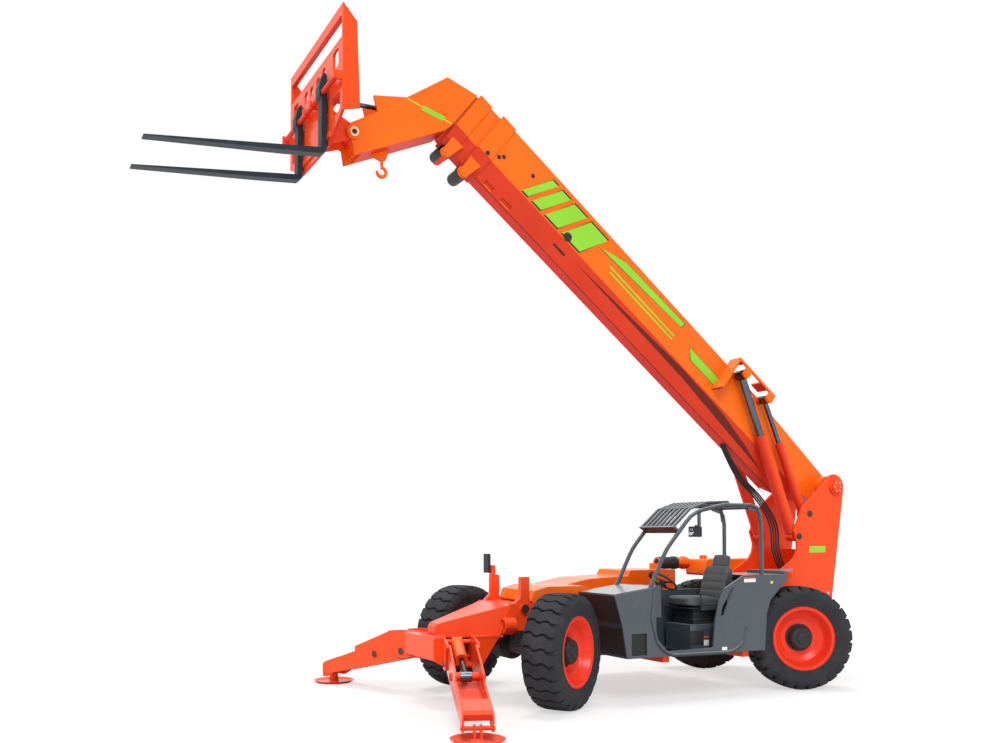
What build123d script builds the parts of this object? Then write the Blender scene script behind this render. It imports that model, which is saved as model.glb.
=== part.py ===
from build123d import *
import math
import os

# Telehandler with a three-section boom, four-wheel steering and two outriggers.
# Vehicle frame: +X forward, +Y to the left, +Z up, millimetres.
# While modelling, X = 0 is at the rear axle and Z = 0 is the ground. The finished
# pieces are moved along X so that the origin lies under the middle of the whole.

# ---------------------------------------------------------------- driving sizes
wheelbase = 3870
kingpin_y = 820            # kingpin axis from the centre line
kingpin_to_tyre = 280      # kingpin axis to the tyre's mid plane

tyre_r = 670
tyre_w = 460
tread_depth = 34
lugs_per_side = 18
rim_r = 395                # bead seat
rim_w = 400
hub_r = 150
running_gap = 0.5          # between flat faces that slide or seat

rail_outer_y = 420
rail_t = 30
rail_bottom_z = 500
rail_top_z = 1080
frame_rear_x = -1190
nose_front_x = 5060

boom_pivot_x = -1310
boom_pivot_z = 2700
boom_angle = 38.6
boom_half_w = 217
boom_top_n = 207           # n runs square to the boom, upwards
boom_chamfer_n = -350
boom_bottom_n = -610
boom_bottom_half_w = 85
boom_wall = 12
boom_step = 22             # one section's outside to the next one's outside
boom_length = 7000         # pivot to the front face of the outer section
boom_tail = 1500           # where the inner sections end inside, from the pivot
pivot_pin_r = 60

tower_plate_t = 35
cab_outer_y = 1215
cab_inner_y = 440
cab_floor_z = 570
cowl_rear_x = 2480
dash_rear_x = 2260
roof_bars = 8
hoop_r = 26
hoop_bend_r = [700, 450, 500, 130, 60]
door_tube_r = 22

carriage_x = 6400
carriage_half_w = 970
fork_spacing_y = 455       # each fork from the centre line
fork_length = 1950
fork_w = 130
fork_t = 60
fork_shaft_out = 60        # shaft's axis ahead of the carriage's face
fork_eye_z = 6930          # the shaft that carries the forks
fork_heel_z = 6300         # top of the blade at the shank
fork_drop = 6.0            # degrees that the blade falls towards its tip

splay = 20.0               # degrees that each outrigger leads forward of straight across
splay_x = 4594             # where the two outriggers' planes meet, on the centre line
pad_l = 2300               # pad pin, out along the arm from the centre line
pad_r = 275

steer_rest = {"fl": 32.0, "fr": 21.0, "rl": -22.5, "rr": -22.5}


# wheel carriers
kingpin_half_h = 134       # half height of the axle's boss between the knuckle's jaws
rim_back_y = -60           # back of the wheel disc from the tyre's mid plane

# frame and nose
axle_notch_z = 860         # underside of the rails above each axle
cover_z = 1180
nose_rear_x = 4010
nose_deck_z = 820          # top of the lower nose
nose_tip_x = 4900          # the upper nose narrows to here
nose_tip_half_w = 100
nose_tip_z = 955
tray_top_z = 620           # engine tray on the right

# outriggers, in their own upright planes: l out along the arm and z up
arm_half_w = 160           # half the arm's width
arm_plate_t = 22
lug_t = 28
arm_pin_r = 28
arm_pivot = (740, 560)
ram_base = (300, 750)
ram_foot = (1270, 480)     # rod pin on the arm
ram_eye_w = 60             # half the width of the ram's eyes
foot_z = 130               # pad pin height
arm_outline = [            # l and z
    (670, 490), (655, 580), (700, 650), (985, 790), (1030, 780), (1670, 550), (1670, 485),
    (2320, 285), (2350, 250), (2340, 95), (2255, 95), (2110, 165), (1540, 285), (760, 458),
]
channel_z = 522            # top of each housing's floor
lug_outline = [
    (60, 500), (60, 830), (760, 825), (985, 800), (1000, 760), (850, 500), (780, 478),
    (640, 478), (600, 500),
]

# boom, s along it from the pivot and n square to it
ear_y = 412                # inner face of the ram bracket's plate
ear_t = 20
ear_top_n = 300
neck_half_w = 200
neck_wall = 25
neck_outline = [           # s and n, from the boom's end round to the carriage pin
    (7400, 160), (7812, 20), (8008, -596), (8298, -905), (8145, -1020), (8290, -1400),
    (8012, -1649), (7424, -527), (7400, -400),
]
neck_slot_half = 170
tilt_pin = (8188, -1444)
tilt_pin_r = 35
tilt_ram_base = (7560, -360)
tilt_ram_top = (6220, 7100)  # X and Z on the carriage

# rams
ram_y = 325
ram_eye_half = 62
pin_gap = 0.1              # radial, in every pinned eye
ram_pin_r = 32
lift_base = (-580, 1990)   # X and Z on the tower
slave_base = (-790, 2310)
lift_top = (2220, 185)     # s and n on the boom
slave_top = (1700, 190)


# ---------------------------------------------------------------- shape helpers
def block(x0, x1, y0, y1, z0, z1):
    """Axis-aligned block from its six limits."""
    centre = Pos((x0 + x1) / 2, (y0 + y1) / 2, (z0 + z1) / 2)
    return centre * Box(abs(x1 - x0), abs(y1 - y0), abs(z1 - z0))


def side_plate(points, y0, y1, radius=0.0):
    """Outline in X and Z, made solid from y0 to y1, its corners rounded."""
    low, high = min(y0, y1), max(y0, y1)
    plane = Plane(origin=(0, high, 0), x_dir=(1, 0, 0), z_dir=(0, -1, 0))
    if radius:
        outline = FilletPolyline(*points, radius=radius, close=True)
    else:
        outline = Polyline(*points, close=True)
    return extrude(plane * make_face(outline), amount=high - low)


def top_plate(points, z0, z1, radius=0.0):
    """Outline in X and Y, made solid from z0 to z1."""
    if radius:
        outline = FilletPolyline(*points, radius=radius, close=True)
    else:
        outline = Polyline(*points, close=True)
    return extrude(Pos(0, 0, z0) * make_face(outline), amount=z1 - z0)


def cross_plate(points, x0, x1, radius=0.0):
    """Outline in Y and Z, made solid from x0 to x1."""
    plane = Plane(origin=(x0, 0, 0), x_dir=(0, 1, 0), z_dir=(1, 0, 0))
    if radius:
        outline = FilletPolyline(*points, radius=radius, close=True)
    else:
        outline = Polyline(*points, close=True)
    return extrude(plane * make_face(outline), amount=x1 - x0)


def rod_y(x, z, radius, y0, y1):
    """Round bar along Y."""
    return Pos(x, (y0 + y1) / 2, z) * Rot(90, 0, 0) * Cylinder(radius, abs(y1 - y0))


def rod_x(y, z, radius, x0, x1):
    """Round bar along X."""
    return Pos((x0 + x1) / 2, y, z) * Rot(0, 90, 0) * Cylinder(radius, abs(x1 - x0))


def bar(p, q, radius):
    """Round bar between two points."""
    start, end = Vector(*p), Vector(*q)
    plane = Plane(origin=start, z_dir=end - start)
    return extrude(plane * Circle(radius), amount=(end - start).length)


def bent_tube(route, runs, radius):
    """Eight-sided tube along a route, in short straight runs with mitred joints."""
    points = [route @ (k / runs) for k in range(runs + 1)]
    start = Plane(origin=points[0], z_dir=points[1] - points[0])
    return sweep(start * RegularPolygon(radius, 8), path=Polyline(*points),
                 transition=Transition.RIGHT)


def mirrored(shape):
    """The same piece on the other side of the centre line."""
    return mirror(shape, about=Plane.XZ)


def both_sides(shape):
    return shape + mirrored(shape)


# ---------------------------------------------------------------- wheels and steering
corner_x = {"fl": wheelbase, "fr": wheelbase, "rl": 0, "rr": 0}
corner_side = {"fl": 1, "fr": -1, "rl": 1, "rr": -1}
axle_z = tyre_r


def steered(shape, corner):
    """Place a piece modelled about the kingpin, straight ahead and on the left side."""
    if corner_side[corner] < 0:
        shape = mirrored(shape)
    place = Pos(corner_x[corner], corner_side[corner] * kingpin_y, axle_z)
    return place * Rot(0, 0, steer_rest[corner]) * shape


def faceted(outline, sides):
    """Ring of flat facets about the wheel axis. The outline gives Y and radius."""
    half_angle = math.pi / sides
    reach = 2 * max(radius for _, radius in outline)
    wide = reach * math.tan(half_angle)
    slice_ = cross_plate(outline, -wide, wide)
    wedge = side_plate([(0, 0), (-wide, reach), (wide, reach)], -reach, reach)
    return slice_ & wedge


def all_round(piece, copies):
    """The same piece repeated round the wheel axis and joined."""
    return Part() + [Rot(0, 360 * k / copies, 0) * piece for k in range(copies)]


def tyre():
    """Flat-sided carcass made from one pitch of lugs repeated round the wheel: a bent
    groove from each shoulder in turn leaves a ring of broad wavy lugs."""
    half = tyre_w / 2
    shoulder_y = half - 22
    # distance from the mid plane, radius over the flats
    outline = [
        (-rim_w / 2, rim_r), (-half, tyre_r - 75), (-shoulder_y, tyre_r),
        (shoulder_y, tyre_r), (half, tyre_r - 75), (rim_w / 2, rim_r),
    ]
    facet = faceted(outline, 2 * lugs_per_side)
    turn = 180 / lugs_per_side
    pitch = Rot(0, -turn / 2, 0) * facet + Rot(0, turn / 2, 0) * facet
    along = 2 * tyre_r * math.tan(math.pi / (2 * lugs_per_side))
    # the groove's plan: along the tread, across it
    plan = [
        (-0.62 * along, half + 5), (-0.12 * along, half + 5), (0.22 * along, 95),
        (0.34 * along, -15), (0.02 * along, -15), (-0.20 * along, 80),
    ]
    groove_face = Pos(0, 0, tyre_r - tread_depth) * make_face(Polyline(*plan, close=True))
    groove = extrude(groove_face, amount=tread_depth + 10)
    opposite = Rot(0, 0, 180) * groove
    cuts = [Rot(0, turn * k, 0) * (groove if k % 2 else opposite) for k in (-2, -1, 0, 1, 2)]
    pitch = pitch - cuts
    return all_round(Rot(0, -turn / 2, 0) * pitch, lugs_per_side)


def rim():
    """Dished disc wheel: a flat-sided barrel that seats in the tyre, and the round
    planetary hub in the middle of its disc."""
    seat_r = rim_r - running_gap
    half = rim_w / 2
    disc_y = 30
    # distance outboard from the tyre's mid plane, radius over the flats
    barrel = [
        (-half, seat_r), (half, seat_r), (half, seat_r - 25), (disc_y + 20, seat_r - 75),
        (disc_y, hub_r - 10), (rim_back_y, hub_r - 10), (rim_back_y, seat_r - 75),
        (-half, seat_r - 25),
    ]
    ring = all_round(faceted(barrel, 2 * lugs_per_side), 2 * lugs_per_side)
    hub = [
        (0, rim_back_y), (hub_r, rim_back_y), (hub_r, half - 60), (hub_r * 0.7, half - 30),
        (0, half - 30),
    ]
    return ring + revolve(make_face(Polyline(*hub, close=True)), axis=Axis.Y)


def knuckle():
    """Steering knuckle: yoke around the kingpin and the hub carrier inside the wheel."""
    jaw = block(-95, 95, -70, 112, kingpin_half_h + running_gap, 205)
    wall = block(-95, 95, 76, 112, -205, 205)
    carrier = rod_y(0, 0, 120, 110, kingpin_to_tyre + rim_back_y - running_gap)
    arm = block(-320, -90, -60, -10, -205, -165)
    return jaw + mirror(jaw, about=Plane.XY) + wall + carrier + arm


def axle(x, pinion_way):
    """Drive axle: beam, differential housing, kingpin bosses and the pads under the rails."""
    beam = rod_y(x, axle_z, 95, -(kingpin_y - 90), kingpin_y - 90)
    housing = rod_y(x, axle_z, 180, -150, 150)
    pinion = rod_x(0, axle_z, 90, x, x + pinion_way * 300)
    end = block(x - 60, x + 60, kingpin_y - 130, kingpin_y,
                axle_z - kingpin_half_h, axle_z + kingpin_half_h)
    boss = Pos(x, kingpin_y, axle_z) * Cylinder(62, 2 * kingpin_half_h)
    pad = block(x - 110, x + 110, rail_outer_y - 130, rail_outer_y - 10,
                axle_z, axle_notch_z - running_gap)
    return beam + housing + pinion + both_sides(end + boss + pad)


# ---------------------------------------------------------------- frame and tower
def nose():
    """Lower nose with a lip along its deck, and the upper nose that narrows forward."""
    inner = rail_outer_y - rail_t
    deck = block(4150, nose_front_x, -rail_outer_y - 6, rail_outer_y + 6,
                 nose_deck_z - 30, nose_deck_z)
    front = block(nose_front_x - 30, nose_front_x, -inner, inner, 560, nose_deck_z - 1)
    plan = top_plate([
        (nose_rear_x, -rail_outer_y), (nose_tip_x, -nose_tip_half_w),
        (nose_tip_x, nose_tip_half_w), (nose_rear_x, rail_outer_y),
    ], nose_deck_z - 1, cover_z + 60)
    slope = side_plate([
        (nose_rear_x, nose_deck_z - 1), (nose_rear_x, cover_z), (nose_tip_x - 40, nose_tip_z),
        (nose_tip_x, nose_tip_z - 40), (nose_tip_x, nose_deck_z - 1),
    ], -rail_outer_y, rail_outer_y, radius=12)
    room = Pos(-35, 0, -30) * (plan & side_plate([
        (nose_rear_x - 40, nose_deck_z - 60), (nose_rear_x - 40, cover_z - 12),
        (nose_tip_x - 40, nose_tip_z - 10), (nose_tip_x - 40, nose_deck_z - 60),
    ], -inner + 25, inner - 25))
    upper = (plan & slope) - room
    # the round lamp-shaped boss at the back of each side, its mouth facing forward
    boss = rod_x(rail_outer_y - 5, 925, 95, 4000, 4160) - rod_x(rail_outer_y - 5, 925, 68, 4090, 4200)
    cap = rod_y(3870, 1120, 50, rail_outer_y - 5, rail_outer_y + 40)
    return deck + front + upper + both_sides(boss + cap)


def in_splay(shape):
    """Place a piece modelled along +Y in the left outrigger's plane."""
    return Pos(splay_x, 0, 0) * Rot(0, 0, -splay) * shape


def outrigger_housing():
    """Fixed plates of the left outrigger, with the pivot stubs and the ram's base pin."""
    inside = arm_half_w + running_gap
    front = cross_plate(lug_outline, inside, inside + lug_t)
    rear = cross_plate(lug_outline, -inside - lug_t, -inside)
    stub = rod_x(arm_pivot[0], arm_pivot[1], arm_pin_r - pin_gap, arm_half_w - arm_plate_t,
                 inside + lug_t + 14)
    head = rod_x(arm_pivot[0], arm_pivot[1], 52, inside + lug_t - 1, inside + lug_t + 8)
    far = mirror(stub + head, about=Plane.YZ)
    base = rod_x(ram_base[0], ram_base[1], arm_pin_r, -inside - lug_t - 10, inside + lug_t + 10)
    floor = block(-inside, inside, 60, 520, 500, channel_z)
    return in_splay(front + rear + stub + head + far + base + floor)


def outrigger_channel():
    """Room for the left arm and its ram through the rail and the nose's deck."""
    inside = arm_half_w + running_gap
    return in_splay(block(-inside, inside, 215, 1100, channel_z, nose_deck_z + 12))


def frame():
    """Two plate rails notched over the axles, joined by decks, with the nose in front."""
    rail_points = [
        (frame_rear_x, 800), (frame_rear_x, rail_top_z), (2600, rail_top_z),
        (3250, cover_z), (nose_rear_x + 40, cover_z), (4200, nose_deck_z),
        (nose_front_x, nose_deck_z), (nose_front_x, 560), (4950, 500), (4420, 480),
        (4200, axle_notch_z - 60), (4160, axle_notch_z), (3520, axle_notch_z),
        (3300, rail_bottom_z), (600, rail_bottom_z), (350, axle_notch_z),
        (-350, axle_notch_z), (-620, 700), (-900, 700),
    ]
    rail = side_plate(rail_points, rail_outer_y - rail_t, rail_outer_y)
    inner = rail_outer_y - rail_t
    result = both_sides(rail)
    # each deck spans the rails: x from, x to, z from, z to
    decks = [
        (frame_rear_x, -920, 800, rail_top_z),
        (700, 3200, rail_bottom_z, rail_bottom_z + 20),
        (-350, 350, axle_notch_z, axle_notch_z + 25),
        (3520, 4180, axle_notch_z, axle_notch_z + 25),
        (4420, 5000, 560, 585),
        (3650, nose_rear_x + 10, cover_z - 25, cover_z),
    ]
    for x0, x1, z0, z1 in decks:
        result = result + block(x0, x1, -inner, inner, z0, z1)
    tray = block(900, 2950, -1200, -rail_outer_y + 1, tray_top_z - 60, tray_top_z)
    for x in (1000, 2250):
        tray = tray + block(x, x + 100, rail_outer_y - 1, cab_outer_y - 80, cab_floor_z - 100,
                            cab_floor_z - 20 - running_gap)
    foot = side_plate([(3772, cover_z - 1), (3785, 1260), (3785, 1500), (3900, 1500),
                       (3900, 1260), (3990, cover_z - 1)], rail_outer_y - 70, rail_outer_y)
    stay = block(3820, 3860 - running_gap, -480, -rail_outer_y + 30, 1480, 1620)
    wire = bar((3850, -rail_outer_y - 4, 1490), (3610, -rail_outer_y - 4, 1150), 5)
    body = result + nose() - both_sides(outrigger_channel())
    return body + tray + both_sides(foot) + stay + wire + both_sides(outrigger_housing())


def tower():
    """Boom tower: two tall side plates with pivot bosses, tied across at the rear."""
    outline = [
        Polyline((-540, 1910), (-490, 2060), (-660, 2400), (-1120, 2780), (-1210, 2870)),
        ThreePointArc((-1210, 2870), (-1385, 2850), (-1462, 2690)),
        Polyline((-1462, 2690), (-1195, 1140), (-1180, rail_bottom_z + 240), (-350, 900),
                 (150, 900), (150, 1240), (-60, 1350), (-150, 1480), (-420, 1640)),
        ThreePointArc((-420, 1640), (-520, 1755), (-540, 1910)),
    ]
    plane = Plane(origin=(0, rail_outer_y + tower_plate_t, 0), x_dir=(1, 0, 0),
                  z_dir=(0, -1, 0))
    plate = extrude(plane * make_face(Wire(Curve() + outline)), amount=tower_plate_t)
    boss = rod_y(boom_pivot_x, boom_pivot_z, 125, rail_outer_y + 5,
                 rail_outer_y + tower_plate_t + 25)
    pins = rod_y(lift_base[0], lift_base[1], ram_pin_r, ram_y - ram_eye_half - 8, rail_outer_y + 15)
    far_pin = mirrored(pins)
    pins = pins + rod_y(slave_base[0], slave_base[1], ram_pin_r, ram_y - ram_eye_half - 8,
                        rail_outer_y + 15)
    spine = block(-1160, -1120, -rail_outer_y - 1, rail_outer_y + 1, rail_top_z + running_gap,
                  1800)
    shelf = block(-1130, -700, -rail_outer_y - 1, rail_outer_y + 1, 1300, 1330)
    pivot = rod_y(boom_pivot_x, boom_pivot_z, pivot_pin_r - pin_gap, -430, 430)
    return both_sides(plate + boss) + pivot + pins + far_pin + spine + shelf


# ---------------------------------------------------------------- boom
def on_boom(shape):
    """Place a piece modelled along the boom, X from the pivot and Z square to it."""
    return Pos(boom_pivot_x, 0, boom_pivot_z) * Rot(0, -boom_angle, 0) * shape


def boom_point(s, n):
    """Vehicle X and Z of a point given along and square to the boom."""
    c, k = math.cos(math.radians(boom_angle)), math.sin(math.radians(boom_angle))
    return boom_pivot_x + s * c - n * k, boom_pivot_z + s * k + n * c


def boom_section(inset, s0, s1):
    """Solid bar with the boom's section, drawn in by an equal inset all round."""
    side = boom_half_w - inset
    low = boom_bottom_half_w - inset * 0.4
    top, knee, bottom = boom_top_n - inset, boom_chamfer_n, boom_bottom_n + inset
    points = [(-side, top), (side, top), (side, knee), (low, bottom), (-low, bottom),
              (-side, knee)]
    return cross_plate(points, s0, s1)


def boom_tube(inset, s0, s1):
    return boom_section(inset, s0, s1) - boom_section(inset + boom_wall, s0 - 1, s1 + 1)


def hose_roller(s, n, radius, half_w, plate_top_n):
    """Roller across the underside of a section's mouth, between two hanging plates."""
    roller = rod_y(s, n, radius, -half_w, half_w)
    pin = rod_y(s, n, radius * 0.3, -half_w - 22, half_w + 22)
    plate = side_plate([
        (s - 120, plate_top_n), (s - 60, n - radius * 0.5), (s, n - radius * 0.8),
        (s + 50, n - radius * 0.3), (s + 62, plate_top_n),
    ], half_w + 2, half_w + 16)
    return roller + pin + both_sides(plate)


def boom_base():
    """Outer section: tapered tail with the pivot boss, ram bracket and front collar."""
    shell = boom_section(0, -170, boom_length)
    hollow = boom_section(boom_wall, 1000, boom_length + 1)
    outline = side_plate([
        (-170, -90), (-60, 120), (1700, 207), (boom_length, 207), (boom_length, -700),
        (950, -700), (0, -240), (-130, -200),
    ], -400, 400)
    boss = rod_y(0, 0, 165, -300, 300)
    bore = rod_y(0, 0, pivot_pin_r, -400, 400)
    collar = boom_section(-16, boom_length - 230, boom_length) \
        - boom_section(boom_wall, boom_length - 240, boom_length + 1)
    # each side: front web, a plate with one lobe for each pin, and ties above it
    sides = None
    for way, pins in ((1, (lift_top, slave_top)), (-1, (lift_top,))):
        tail_s = pins[-1][0] - 60
        web = block(2410, 2440, boom_half_w - 1, ear_y + ear_t, -250, ear_top_n)
        strip = block(tail_s, 2440, ear_y, ear_y + ear_t, ear_top_n - 38, ear_top_n)
        ties = block(2330, 2440, boom_half_w - 1, ear_y + 1, ear_top_n - 25, ear_top_n) \
            + block(1790, 1945, boom_half_w - 1, ear_y + 1, ear_top_n - 25, ear_top_n)
        if way < 0:
            ties = block(2330, 2440, boom_half_w - 1, ear_y + 1, ear_top_n - 25, ear_top_n)
        piece = web + strip + ties
        for s, n in pins:
            lobe = block(s - 60, s + 60, ear_y, ear_y + ear_t, n - 20, ear_top_n - 1)
            lobe = lobe + rod_y(s, n, 60, ear_y, ear_y + ear_t)
            lobe = lobe + rod_y(s, n, 42, ear_y + ear_t - 1, ear_y + ear_t + 8)
            lobe = lobe + rod_y(s, n, 52, ram_y + ram_eye_half + running_gap, ear_y + 1)
            piece = piece + lobe + rod_y(s, n, 60, boom_half_w - 1,
                                         ram_y - ram_eye_half - running_gap)
        if way < 0:
            piece = mirrored(piece)
        sides = piece if sides is None else sides + piece
    body = (shell & outline) - hollow + collar + boss - bore
    # oval access slots low in the chamfers: s from, s to
    for s0, s1 in ((6180, 6345), (6495, 6640)):
        slot = block(s0, s1, 96, 124, -660, -500)
        body = body - both_sides(slot)
    # adjuster plates for the wear pads, on top of the collar
    for s0 in (boom_length - 215, boom_length - 85):
        body = body + block(s0, s0 + 60, -120, 120, boom_top_n + 15, boom_top_n + 30)
    body = body + hose_roller(boom_length - 75, -712, 78, 150, -470)
    return on_boom(body + sides)


def boom_mid():
    """Middle section, sliding in the outer one on wear pads."""
    inset = boom_step
    front = boom_length + 370
    pads = boom_section(boom_wall + running_gap, boom_tail, boom_tail + 200)
    body = boom_section(inset, boom_tail, front) + pads
    body = body - boom_section(inset + boom_wall, boom_tail - 1, front + 1)
    collar = boom_section(6, front - 200, front) \
        - boom_section(inset + boom_wall, front - 210, front + 1)
    plate = block(front - 85, front - 25, -100, 100, boom_top_n - 7, boom_top_n + 8)
    roller = hose_roller(front - 130, -690, 70, 135, -460)
    return on_boom(body + collar + plate + roller)


def lifting_hook():
    """Hook hanging straight down from the plate under the gooseneck, cut from plate."""
    x, z = boom_point(7762, -1290)
    shank = rod_y(x, z, 34, -14, 14) + block(x - 15, x + 15, -14, 14, z - 150, z - 25)
    bowl_z = z - 195
    bowl = rod_y(x, bowl_z, 72, -14, 14) - rod_y(x + 6, bowl_z + 8, 42, -20, 20)
    mouth = block(x + 12, x + 100, -20, 20, bowl_z + 10, bowl_z + 100)
    return shank + bowl - mouth


def boom_fly():
    """Inner section with the gooseneck that carries the carriage."""
    inset = 2 * boom_step
    pads = boom_section(boom_step + boom_wall + running_gap, boom_tail + 300, boom_tail + 500)
    body = boom_section(inset, boom_tail + 300, boom_length + 420) + pads
    body = body - boom_section(inset + boom_wall, boom_tail + 299, boom_length + 200)
    neck = side_plate(neck_outline, -neck_half_w, neck_half_w)
    inner_plane = Plane(origin=(0, neck_slot_half, 0), x_dir=(1, 0, 0), z_dir=(0, -1, 0))
    inner_face = offset(make_face(Polyline(*neck_outline, close=True)), amount=-neck_wall,
                        kind=Kind.INTERSECTION)
    hollow = extrude(inner_plane * inner_face, amount=2 * neck_slot_half)
    mouth = side_plate([(8120, -760), (8600, -700), (8600, -1800), (7940, -1620), (8060, -1100)],
                       -neck_slot_half, neck_slot_half)
    bore = rod_y(tilt_pin[0], tilt_pin[1], tilt_pin_r, -400, 400)
    base_pin = rod_y(tilt_ram_base[0], tilt_ram_base[1], 25, -neck_half_w - 8, neck_half_w + 8)
    ring = rod_y(tilt_pin[0], tilt_pin[1], 88, neck_half_w - 1, neck_half_w + 14)
    eye = side_plate([(7885, -1395), (7752, -1138), (7700, -1300), (7730, -1345)], -16, 16,
                     radius=10) - rod_y(7762, -1290, 18, -30, 30)
    neck = neck - hollow - mouth + both_sides(ring) - bore
    return on_boom(body + neck + base_pin + eye) + lifting_hook()


# ---------------------------------------------------------------- rams
def ram_parts(base, top, barrel_r, rod_r, barrel_share, eye_r, pin_r, half_w, closing):
    """Barrel and rod between two pins in the XZ plane, modelled about Y = 0.
    closing is how much shorter the ram gets from here to its shortest."""
    p, q = Vector(base[0], 0, base[1]), Vector(top[0], 0, top[1])
    way = (q - p).normalized()
    length = (q - p).length
    barrel_end = p + way * (length * barrel_share)
    barrel = bar(p + way * (eye_r - 8), barrel_end, barrel_r)
    barrel = barrel + rod_y(p.X, p.Z, eye_r, -half_w, half_w)
    barrel = barrel - rod_y(p.X, p.Z, pin_r + pin_gap, -half_w - 1, half_w + 1)
    barrel = barrel - bar(p + way * (eye_r + 20), barrel_end + way, rod_r + pin_gap)
    rod = bar(p + way * (eye_r + 30 + closing), q - way * (eye_r - 8), rod_r)
    rod = rod + rod_y(q.X, q.Z, eye_r, -half_w, half_w)
    return barrel, rod


def lift_rams():
    barrel, rod = ram_parts(lift_base, boom_point(*lift_top), 82, 50, 0.63, 70, ram_pin_r,
                            ram_eye_half, 680)
    left = Pos(0, ram_y, 0)
    right = Pos(0, -ram_y, 0)
    return left * barrel + right * barrel, left * rod + right * rod


def slave_ram():
    barrel, rod = ram_parts(slave_base, boom_point(*slave_top), 62, 35, 0.63, 58, ram_pin_r,
                            ram_eye_half, 480)
    return Pos(0, ram_y, 0) * barrel, Pos(0, ram_y, 0) * rod


def tilt_ram():
    base = boom_point(*tilt_ram_base)
    return ram_parts(base, tilt_ram_top, 46, 28, 0.5, 45, 25, 40, 430)


# ---------------------------------------------------------------- carriage and forks
def carriage():
    """Fork carriage: rails, holed plate, side plates, ears to the boom and the fork shaft."""
    x0, x1 = carriage_x - 30, carriage_x
    low, high = 6330, 7740
    w = carriage_half_w
    outline = [
        (-w, 6560), (-w, high), (w, high), (w, 6560), (520, low), (-520, low),
    ]
    plate = cross_plate(outline, x0, x1)
    band = cross_plate([(-w + 20, 7380), (-w + 20, 7620), (w - 20, 7620), (w - 20, 7380)],
                       x0 - 1, x1 + 1, radius=30)
    plate = plate - band
    # windows with rounded corners, mirrored: y from, y to, z from, z to
    windows = [(655, 845, 7110, 7310), (270, 400, 7150, 7290), (60, 180, 7150, 7270),
               (610, 900, 6590, 6800)]
    for ya, yb, za, zb in windows:
        window = cross_plate([(ya, za), (ya, zb), (yb, zb), (yb, za)], x0 - 1, x1 + 1, radius=45)
        plate = plate - both_sides(window)
    side = side_plate([(6200, 6610), (6240, 7565), (x1, high), (x1, 6555)], w, w + 20)
    rails = block(6330, x0 + 1, -w, w, 7640, 7700) + block(6290, x0 + 1, -w, w, 6840, 6900)
    bearer = block(x1 - 1, x1 + 19, -600, 600, 6400, 6460)
    ears = side_plate([
        (x0 + 1, 6980), (5950, 6760), (5925, 6640), (6020, 6600), (x0 + 1, 6480),
    ], neck_slot_half - 30, neck_slot_half - running_gap)
    pin_x, pin_z = boom_point(*tilt_pin)
    ears = ears + rod_y(pin_x, pin_z, 70, neck_slot_half - 30, neck_slot_half - running_gap)
    tilt_x, tilt_z = tilt_ram_top
    lug = side_plate([(x0 + 1, 6950), (x0 + 1, 7200), (tilt_x - 40, 7150), (tilt_x - 40, 7060)],
                     40.5, 70)
    lug = lug - rod_y(tilt_x, tilt_z, 25, 30, 80)
    body = plate + both_sides(side) + rails + bearer + both_sides(ears) + both_sides(lug)
    body = body + rod_y(pin_x, pin_z, tilt_pin_r - pin_gap, -neck_half_w - 25, neck_half_w + 25)
    shaft = rod_y(carriage_x + fork_shaft_out, fork_eye_z, 30, -w, w)
    for y in (-w - 20, -140, 110, w - 10):
        body = body + block(x1 - 1, carriage_x + fork_shaft_out + 45, y, y + 30, fork_eye_z - 45, fork_eye_z + 45)
    return body + shaft


def forks():
    """Two shaft-mounted forks: hooked eye, shank, heel and a tapering blade that drops
    a little towards its tip."""
    heel_x = carriage_x + 20
    tip_x = heel_x + fork_length
    slope = math.tan(math.radians(fork_drop))

    def top(x):
        return fork_heel_z - (x - heel_x - fork_t) * slope

    outline = [
        (heel_x, fork_eye_z + 40), (heel_x + 2, fork_eye_z + 190),
        (heel_x + 25, fork_eye_z + 225), (heel_x + fork_t, fork_eye_z + 180),
        (heel_x + fork_t + 30, fork_eye_z + 60),
        (heel_x + fork_t + 30, fork_eye_z - 40), (heel_x + fork_t, fork_eye_z - 80),
        (heel_x + fork_t, top(heel_x + fork_t)), (tip_x, top(tip_x)), (tip_x, top(tip_x) - 12),
        (heel_x + 500, top(heel_x + 500) - fork_t), (heel_x + 40, fork_heel_z - fork_t - 6),
        (heel_x, fork_heel_z - fork_t + 30),
    ]
    blade = side_plate(outline, -fork_w / 2, fork_w / 2)
    blade = blade - rod_y(carriage_x + fork_shaft_out, fork_eye_z, 30.3, -fork_w, fork_w)
    return Pos(0, fork_spacing_y, 0) * blade + Pos(0, -fork_spacing_y, 0) * blade


# ---------------------------------------------------------------- outriggers
def outrigger_arm():
    """Left arm: a channel of two side plates on a bottom web, closed at the foot."""
    inside = arm_half_w - arm_plate_t
    front = cross_plate(arm_outline, inside, arm_half_w)
    rear = cross_plate(arm_outline, -arm_half_w, -inside)
    web = cross_plate([(900, 452), (1545, 308), (2100, 190), (2100, 168), (1540, 286),
                       (895, 429)], -inside - 1, inside + 1)
    end = cross_plate([(2060, 372), (2300, 300), (2322, 262), (2300, 200), (2280, 200),
                       (2290, 262), (2280, 282), (2060, 345)], -inside - 1, inside + 1)
    ties = web + end
    bosses = rod_x(ram_foot[0], ram_foot[1], 48, ram_eye_w + 2, arm_half_w + 12)
    bosses = bosses + mirror(bosses, about=Plane.YZ)
    bore = rod_x(arm_pivot[0], arm_pivot[1], arm_pin_r, -300, 300)
    pad_pin = rod_x(pad_l, foot_z, 22, -arm_half_w - 12, arm_half_w + 12)
    return in_splay(front + rear + ties + bosses - bore + pad_pin)


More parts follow.
